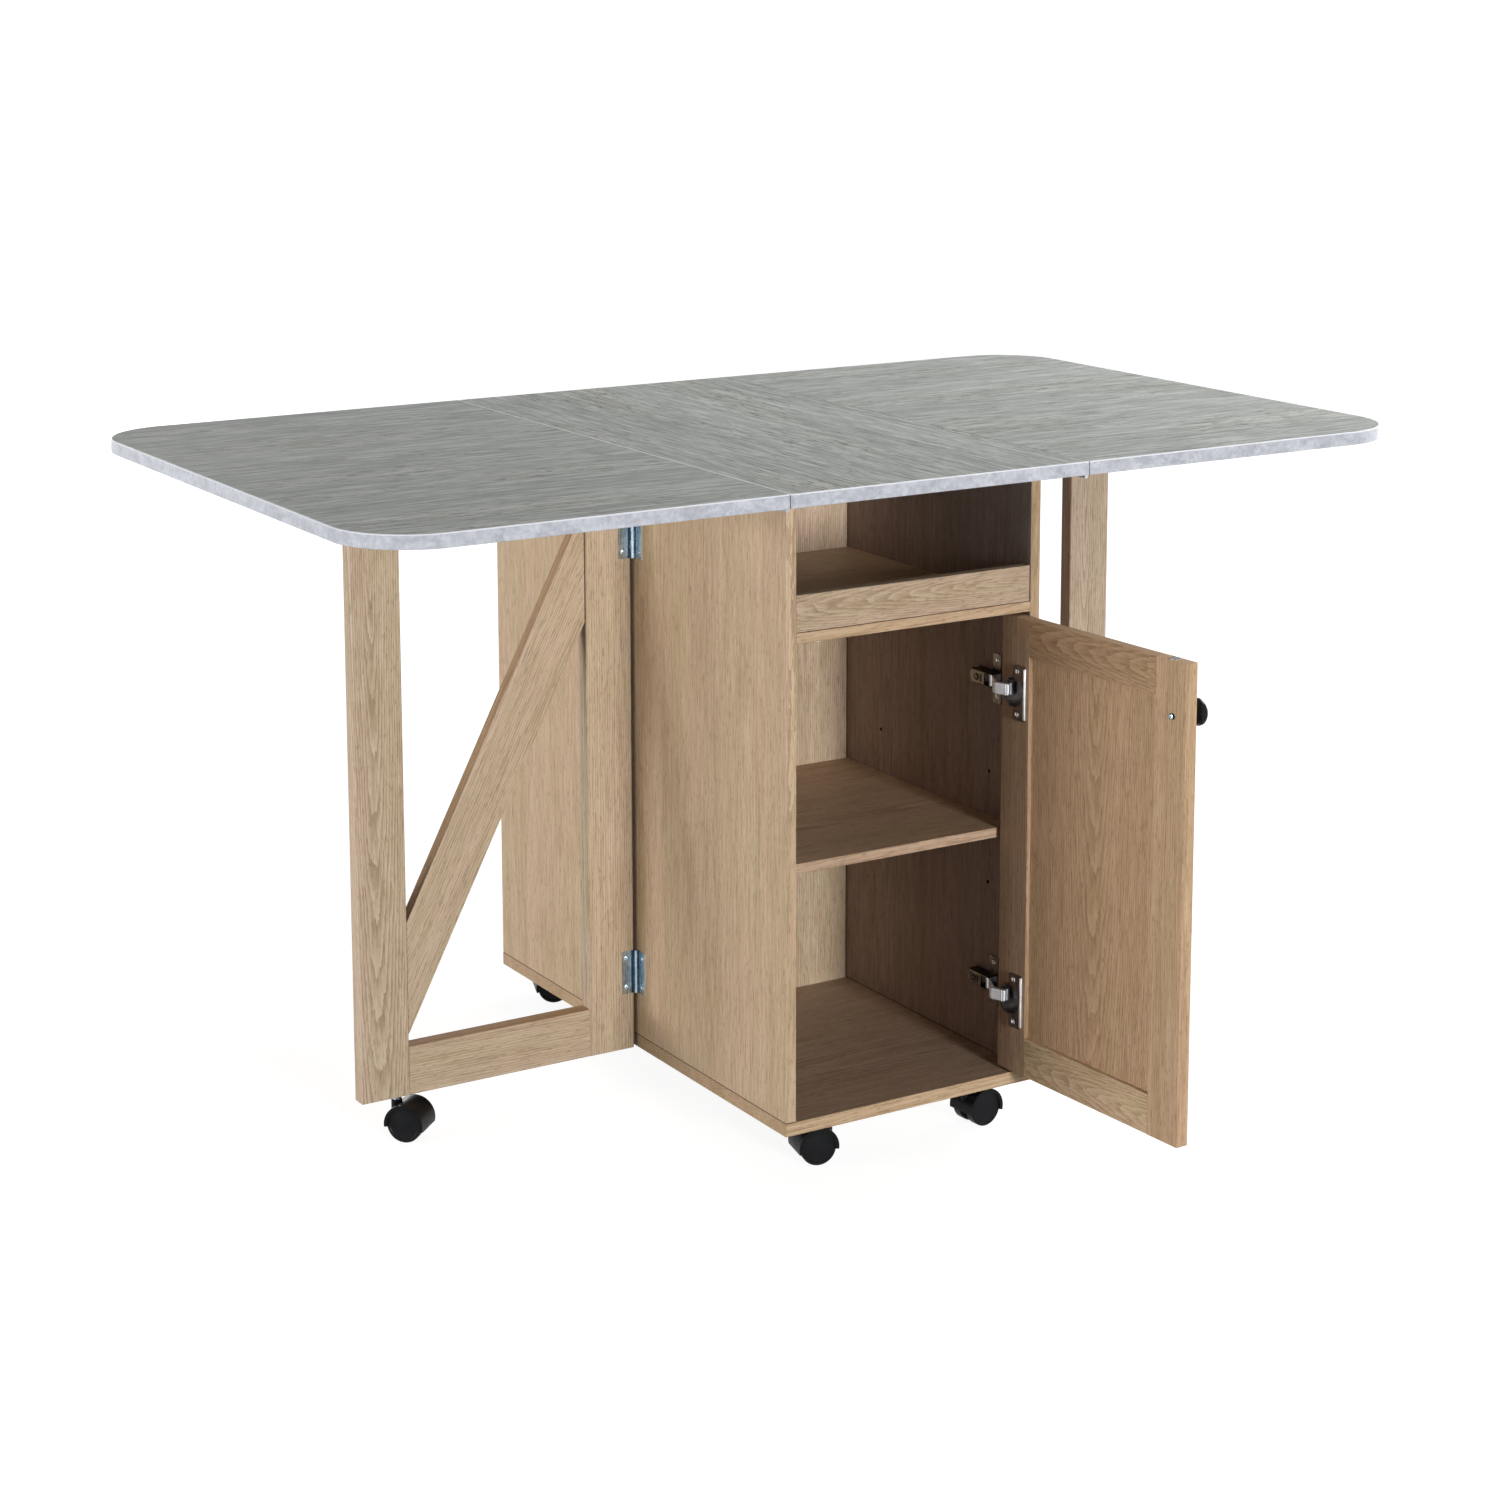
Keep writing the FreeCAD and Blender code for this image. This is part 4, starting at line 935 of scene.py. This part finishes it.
castor_nylon = plastic_finish(
    "castor_nylon", srgb(9, 9, 10), srgb(15, 15, 16), (0.32, 0.44), 0.10)
wheel_nylon = plastic_finish(
    "wheel_nylon", srgb(16, 17, 19), srgb(23, 24, 27), (0.36, 0.48), 0.10)
knob_black = plastic_finish(
    "knob_black", srgb(8, 8, 9), srgb(12, 12, 13), (0.16, 0.24), 0.22, 500.0, 0.00001)
catch_white = plastic_finish(
    "catch_white", srgb(226, 226, 224), srgb(212, 212, 208), (0.34, 0.46), 0.3)
pad_brown = plastic_finish(
    "pad_brown", srgb(92, 82, 74), srgb(78, 70, 64), (0.50, 0.62), 0.2)

plastic_of = {
    "door_knob": knob_black,
    "door_catch_and_bumper": catch_white,
    "left_leaf_rest_pad": pad_brown,
    "right_leaf_rest_pad": pad_brown,
}
for castor in ("front_left", "front_right", "rear_left", "rear_right", "left_leg", "right_leg"):
    plastic_of["castor_" + castor + "_housing"] = castor_nylon
    plastic_of["castor_" + castor + "_wheels"] = wheel_nylon
for node, material in plastic_of.items():
    dress(node, material)
print("plastic nodes", len(plastic_of))

# %% [markdown]
# ## Screw heads
#
# The construction model has flat countersunk heads. A real head is slightly domed and
# has a cross recess, and that cross is what makes a dot read as a screw. One head is
# a surface over a disc: the height is a shallow dome minus two crossing grooves. The
# same grid is then placed on every seat.

# %% Screw head surface
head_radius = 0.0031
head_height = 0.0007
rim_share = 0.25
cross_arm = 0.0019
cross_half_width = 0.00042
cross_side = 1.6
cross_fade = 0.0006
cross_depth = 0.92
rings_per_head = 12
points_per_ring = 40
first_turn = 0.4
turn_step = 0.9


def head_grid(radius, height):
    """Closed head around the z axis.

    Rows run from the middle of the top to the rim and back under to the middle. The
    top's height is height * (1 - (r / radius)^2) above a low rim, less a groove along x
    and one along y, each fading out at its sides and at the arm's end.
    """
    share = np.linspace(0.0, 1.0, rings_per_head)
    turn = np.linspace(0.0, 2 * np.pi, points_per_ring, endpoint=False)
    r = radius * share[:, None]
    x = r * np.cos(turn)[None, :]
    y = r * np.sin(turn)[None, :]
    dome = height * (1 - (r / radius) ** 2) + rim_share * height
    nearest = np.minimum(np.abs(x), np.abs(y))
    farthest = np.maximum(np.abs(x), np.abs(y))
    arm_end = cross_arm * radius / head_radius
    groove = np.clip(cross_side - nearest / cross_half_width, 0, 1)
    groove = groove * np.clip((arm_end - farthest) / cross_fade, 0, 1)
    top = np.stack([x, y, dome * (1 - cross_depth * groove)], axis=-1)
    rim = np.stack([top[-1, :, 0], top[-1, :, 1], np.zeros(points_per_ring)], axis=-1)
    return np.concatenate([top, rim[None, :, :]], axis=0)


def ring_quads(rows, columns):
    """Quads between neighbouring rows of a grid whose columns close into rings."""
    row = np.arange(rows - 1)[:, None]
    column = np.arange(columns)[None, :]
    following = (column + 1) % columns
    return np.stack([
        row * columns + column, row * columns + following,
        (row + 1) * columns + following, (row + 1) * columns + column], axis=-1).reshape(-1, 4)


def head_faces(rows, columns):
    """Quads that look outwards, and a polygon that closes the underside."""
    outwards = ring_quads(rows, columns)[:, [0, 3, 2, 1]].tolist()
    return outwards + [list(range((rows - 1) * columns, rows * columns))[::-1]]


def placed_piece(name, mesh, body, material):
    """Puts a finished mesh into the scene, on a body and in a material slot."""
    mesh.polygons.foreach_set("use_smooth", [True] * len(mesh.polygons))
    mesh.materials.append(material)
    piece = bpy.data.objects.new(name, mesh)
    scene.collection.objects.link(piece)
    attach(piece, body)
    return piece


def set_of_heads(name, body, seats, outward, material, radius=head_radius):
    """One mesh with a head on every seat; each head is turned a little further."""
    grid = head_grid(radius, head_height * radius / head_radius)
    base = grid.reshape(-1, 3)
    faces = head_faces(*grid.shape[:2])
    lay = Vector(outward).normalized().to_track_quat("Z", "Y").to_matrix()
    points, polygons = [], []
    for number, seat in enumerate(seats):
        turn = lay @ Matrix.Rotation(first_turn + turn_step * number, 3, "Z")
        points.append(base @ np.array(turn.transposed()) + np.array(seat))
        polygons += [[index + number * len(base) for index in face] for face in faces]
    mesh = bpy.data.meshes.new(name)
    mesh.from_pydata(np.concatenate(points).tolist(), [], polygons)
    mesh.validate()
    return placed_piece(name, mesh, body, material)


print("one head has", len(head_faces(rings_per_head + 1, points_per_ring)), "faces")

# %% [markdown]
# ### Screws of the butt hinges
#
# Every butt hinge has two screws in its leg plate and two in its cabinet plate, 8 mm
# from the ends. The plates' boxes give the heights and the outer edges.

# %% Butt hinge screws
butt_end_inset = 0.008
butt_edge_inset = 0.0055
butt_length = 0.050
plate_thickness = 0.0012


def butt_heights():
    """Heights of the screws of both butt hinges of a leg."""
    low, high = wings_low.z, wings_high.z
    ends = (low, low + butt_length, high - butt_length, high)
    return [end + way * butt_end_inset for end, way in zip(ends, (1, -1, 1, -1))]


for side, sign in (("left", -1), ("right", 1)):
    outer_x = face_level(side + "_leg_hinge_wings", "X", sign) - sign * butt_edge_inset
    face_y = face_level(side + "_leg_inner_post", "Y", -1) - plate_thickness
    seats = [(outer_x, face_y, z) for z in butt_heights()]
    set_of_heads(side + "_leg_hinge_screw_heads", side + "_leg", seats, -Y, zinc)
    face_x = face_level(side + "_side_panel", "X", sign) + sign * plate_thickness
    seats = [(face_x, wings_low.y + butt_edge_inset, z) for z in butt_heights()]
    set_of_heads(side + "_cabinet_hinge_screw_heads", "cabinet", seats, sign * X, zinc)
print("butt hinge screws", 4 * len(butt_heights()))

# %% [markdown]
# ### Screws of the cup hinges and the knob
#
# The door is drawn open in the frame, so its screws are placed in the door's own
# directions: across from the hinge edge, inward from the inner face, and up.

# %% Cup hinge and knob screws
cup_ear_length = 0.061
cup_screw_half_spacing = 0.024
cup_screw_across = 0.0285
cup_flange = 0.0024
plate_screw_half_spacing = 0.0205
plate_wing_inset = 0.0075
plate_wing_thickness = 0.002
knob_below_top = 0.058
knob_from_free_edge = 0.020
knob_screw_head = 0.0020
knob_head_radius = 0.0032

stile = corners("door_hinge_stile")
free_stile = corners("door_free_stile")
hinge_edge = (stile @ np.array(door_across)).min()
free_edge = (free_stile @ np.array(door_across)).max()
inner_face = (stile @ np.array(door_inward)).max()


def on_door(across, inward, height):
    """Point in the frame from distances on the open door."""
    point = door_across * (hinge_edge + across) + door_inward * (inner_face + inward)
    return (point.x, point.y, height)


def cup_heights():
    """Middle heights of the two cups, from the ends of their ears."""
    low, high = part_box("door_hinge_cups")
    return (low.z + cup_ear_length / 2, high.z - cup_ear_length / 2)


seats = [on_door(cup_screw_across, cup_flange, z + way * cup_screw_half_spacing)
         for z in cup_heights() for way in (-1, 1)]
set_of_heads("cup_screw_heads", "door", seats, door_inward, bright_chrome)
plates_low, plates_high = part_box("door_hinge_plates")
seats = [(plates_high.x - plate_wing_thickness, plates_low.y + plate_wing_inset,
          z + way * plate_screw_half_spacing)
         for z in cup_heights() for way in (-1, 1)]
set_of_heads("plate_screw_heads", "cabinet", seats, -X, bright_chrome)
knob_seat = on_door(
    free_edge - hinge_edge - knob_from_free_edge, knob_screw_head,
    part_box("door_top_rail")[1].z - knob_below_top)
set_of_heads(
    "knob_screw_top", "door", [knob_seat], door_inward, zinc, radius=knob_head_radius)
print("plate screws", len(seats))

# %% [markdown]
# ### Caps of the cup hinges' links
#
# The link is a folded strap, and its outer side is a smooth, slightly swollen block. It
# is the brightest spot in the cabinet, because it leans towards the front light. Its
# outline, seen from above, is drawn once and stacked in layers that shrink towards the
# top and the bottom, which rounds both rims without any modifier.

# %% Link caps
cap_outline_mm = np.array([
    (125.9, -190.2), (122.4, -190.0), (120.4, -191.2), (119.7, -193.2), (119.9, -195.4),
    (121.6, -199.4), (123.3, -203.4), (125.0, -207.4), (126.3, -210.4), (127.4, -211.6),
    (128.6, -211.2), (128.4, -209.6), (127.0, -207.2), (126.3, -202.0), (126.0, -196.0)])
cap_half_height = 0.0064
cap_layers = 24
cap_squareness = 0.22
outline_steps = 6
join_distance = 1e-6


def smooth_loop(points, steps):
    """Closed curve through the points: a Catmull-Rom cubic between each pair."""
    share = (np.arange(steps) / steps)[None, :, None]
    before, start, end, after = (
        np.roll(points, shift, axis=0)[:, None, :] for shift in (1, 0, -1, -2))
    curve = 0.5 * (
        2 * start + (end - before) * share
        + (2 * before - 5 * start + 4 * end - after) * share ** 2
        + (3 * start - before - 3 * end + after) * share ** 3)
    return curve.reshape(-1, 2)


def cap_grid(height):
    """Rows of the outline around one height.

    With t from -90 to 90 degrees, a row lies at the half height times sin(t) and is
    scaled about its middle by cos(t), both raised to a small power, which makes a box
    with rounded rims that closes to a point at each end.
    """
    outline = smooth_loop(cap_outline_mm, outline_steps) / 1000
    centre = outline.mean(axis=0)
    t = np.linspace(-np.pi / 2, np.pi / 2, cap_layers)
    level = np.sign(np.sin(t)) * np.abs(np.sin(t)) ** cap_squareness
    width = np.maximum(np.cos(t), 0) ** cap_squareness
    flat = centre + (outline - centre)[None, :, :] * width[:, None, None]
    rise = (height + cap_half_height * level)[:, None, None]
    return np.concatenate([flat, np.broadcast_to(rise, flat.shape[:2] + (1,))], axis=-1)


def closed_piece(name, body, grids, material):
    """One mesh from grids whose columns close into rings.

    Points that lie on each other, at a pole or along a seam, are joined, and the faces
    are turned outwards.
    """
    points, polygons, start = [], [], 0
    for grid in grids:
        rows, columns = grid.shape[:2]
        points.append(grid.reshape(-1, 3))
        polygons += (ring_quads(rows, columns) + start).tolist()
        start += rows * columns
    mesh = bpy.data.meshes.new(name)
    mesh.from_pydata(np.concatenate(points).tolist(), [], polygons)
    shape = bmesh.new()
    shape.from_mesh(mesh)
    bmesh.ops.remove_doubles(shape, verts=shape.verts, dist=join_distance)
    bmesh.ops.recalc_face_normals(shape, faces=shape.faces)
    shape.to_mesh(mesh)
    shape.free()
    return placed_piece(name, mesh, body, material)


link_caps = closed_piece(
    "link_caps", "door_links", [cap_grid(z) for z in cup_heights()],
    satin_chrome)
print("link cap faces", len(link_caps.data.polygons))

# %% [markdown]
# ### Rolled edges of the cup flanges and rings of the adjusting screws
#
# The flange of each cup is pressed sheet, and its front edge is rolled over. The roll is
# a slim rod with round ends, let into the flange, and it shines as a straight line. On
# the arm a black plastic ring keeps the adjusting screw in place: a small torus.

# %% Rolled edges and rings
flange_half_length = 0.0292
roll_radius = 0.0016
roll_across = 0.0397
roll_inward = 0.0010
roll_layers = 16
roll_points = 24
ring_radius = 0.0030
ring_wire = 0.00075
ring_turns = 33
wire_points = 12
screw_from_arm_end = 0.010
ring_sink = 0.0004


def roll_grid(height):
    """Rod along z with hemispherical ends, on the front edge of one flange.

    With t from -90 to 90 degrees, the ring's radius is the rod's times cos(t), and its
    height is the rod's straight half plus the radius times sin(t).
    """
    t = np.linspace(-np.pi / 2, np.pi / 2, roll_layers)
    turn = np.linspace(0, 2 * np.pi, roll_points, endpoint=False)
    width = roll_radius * np.cos(t)
    rise = np.sign(t) * (flange_half_length - roll_radius) + roll_radius * np.sin(t)
    axis = np.array(on_door(roll_across, roll_inward, height))
    ring = np.stack([np.cos(turn), np.sin(turn), 0 * turn], axis=-1)
    return axis + ring[None] * width[:, None, None] + np.array(Z) * rise[:, None, None]


def ring_grid(height):
    """Torus whose axis is x, around one arm's adjusting screw.

    A point is the centre plus (R + r cos b) towards the angle a in the y-z plane, plus
    r sin b along x. The last row lies on the first, which closes the tube.
    """
    a = np.linspace(0, 2 * np.pi, ring_turns)[:, None]
    b = np.linspace(0, 2 * np.pi, wire_points, endpoint=False)[None, :]
    reach = ring_radius + ring_wire * np.cos(b)
    torus = np.stack(
        [ring_wire * np.sin(b) + 0 * a, reach * np.cos(a), reach * np.sin(a)], axis=-1)
    return torus + np.array((arms_low.x + ring_sink, arms_high.y - screw_from_arm_end, height))


rolls = closed_piece(
    "flange_rolled_edges", "door", [roll_grid(z) for z in cup_heights()],
    satin_chrome)
arms_low, arms_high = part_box("door_hinge_arms")
rings = closed_piece(
    "adjusting_screw_rings", "cabinet", [ring_grid(z) for z in cup_heights()],
    knob_black)
print("rolled edges and rings", len(rolls.data.polygons) + len(rings.data.polygons), "faces")
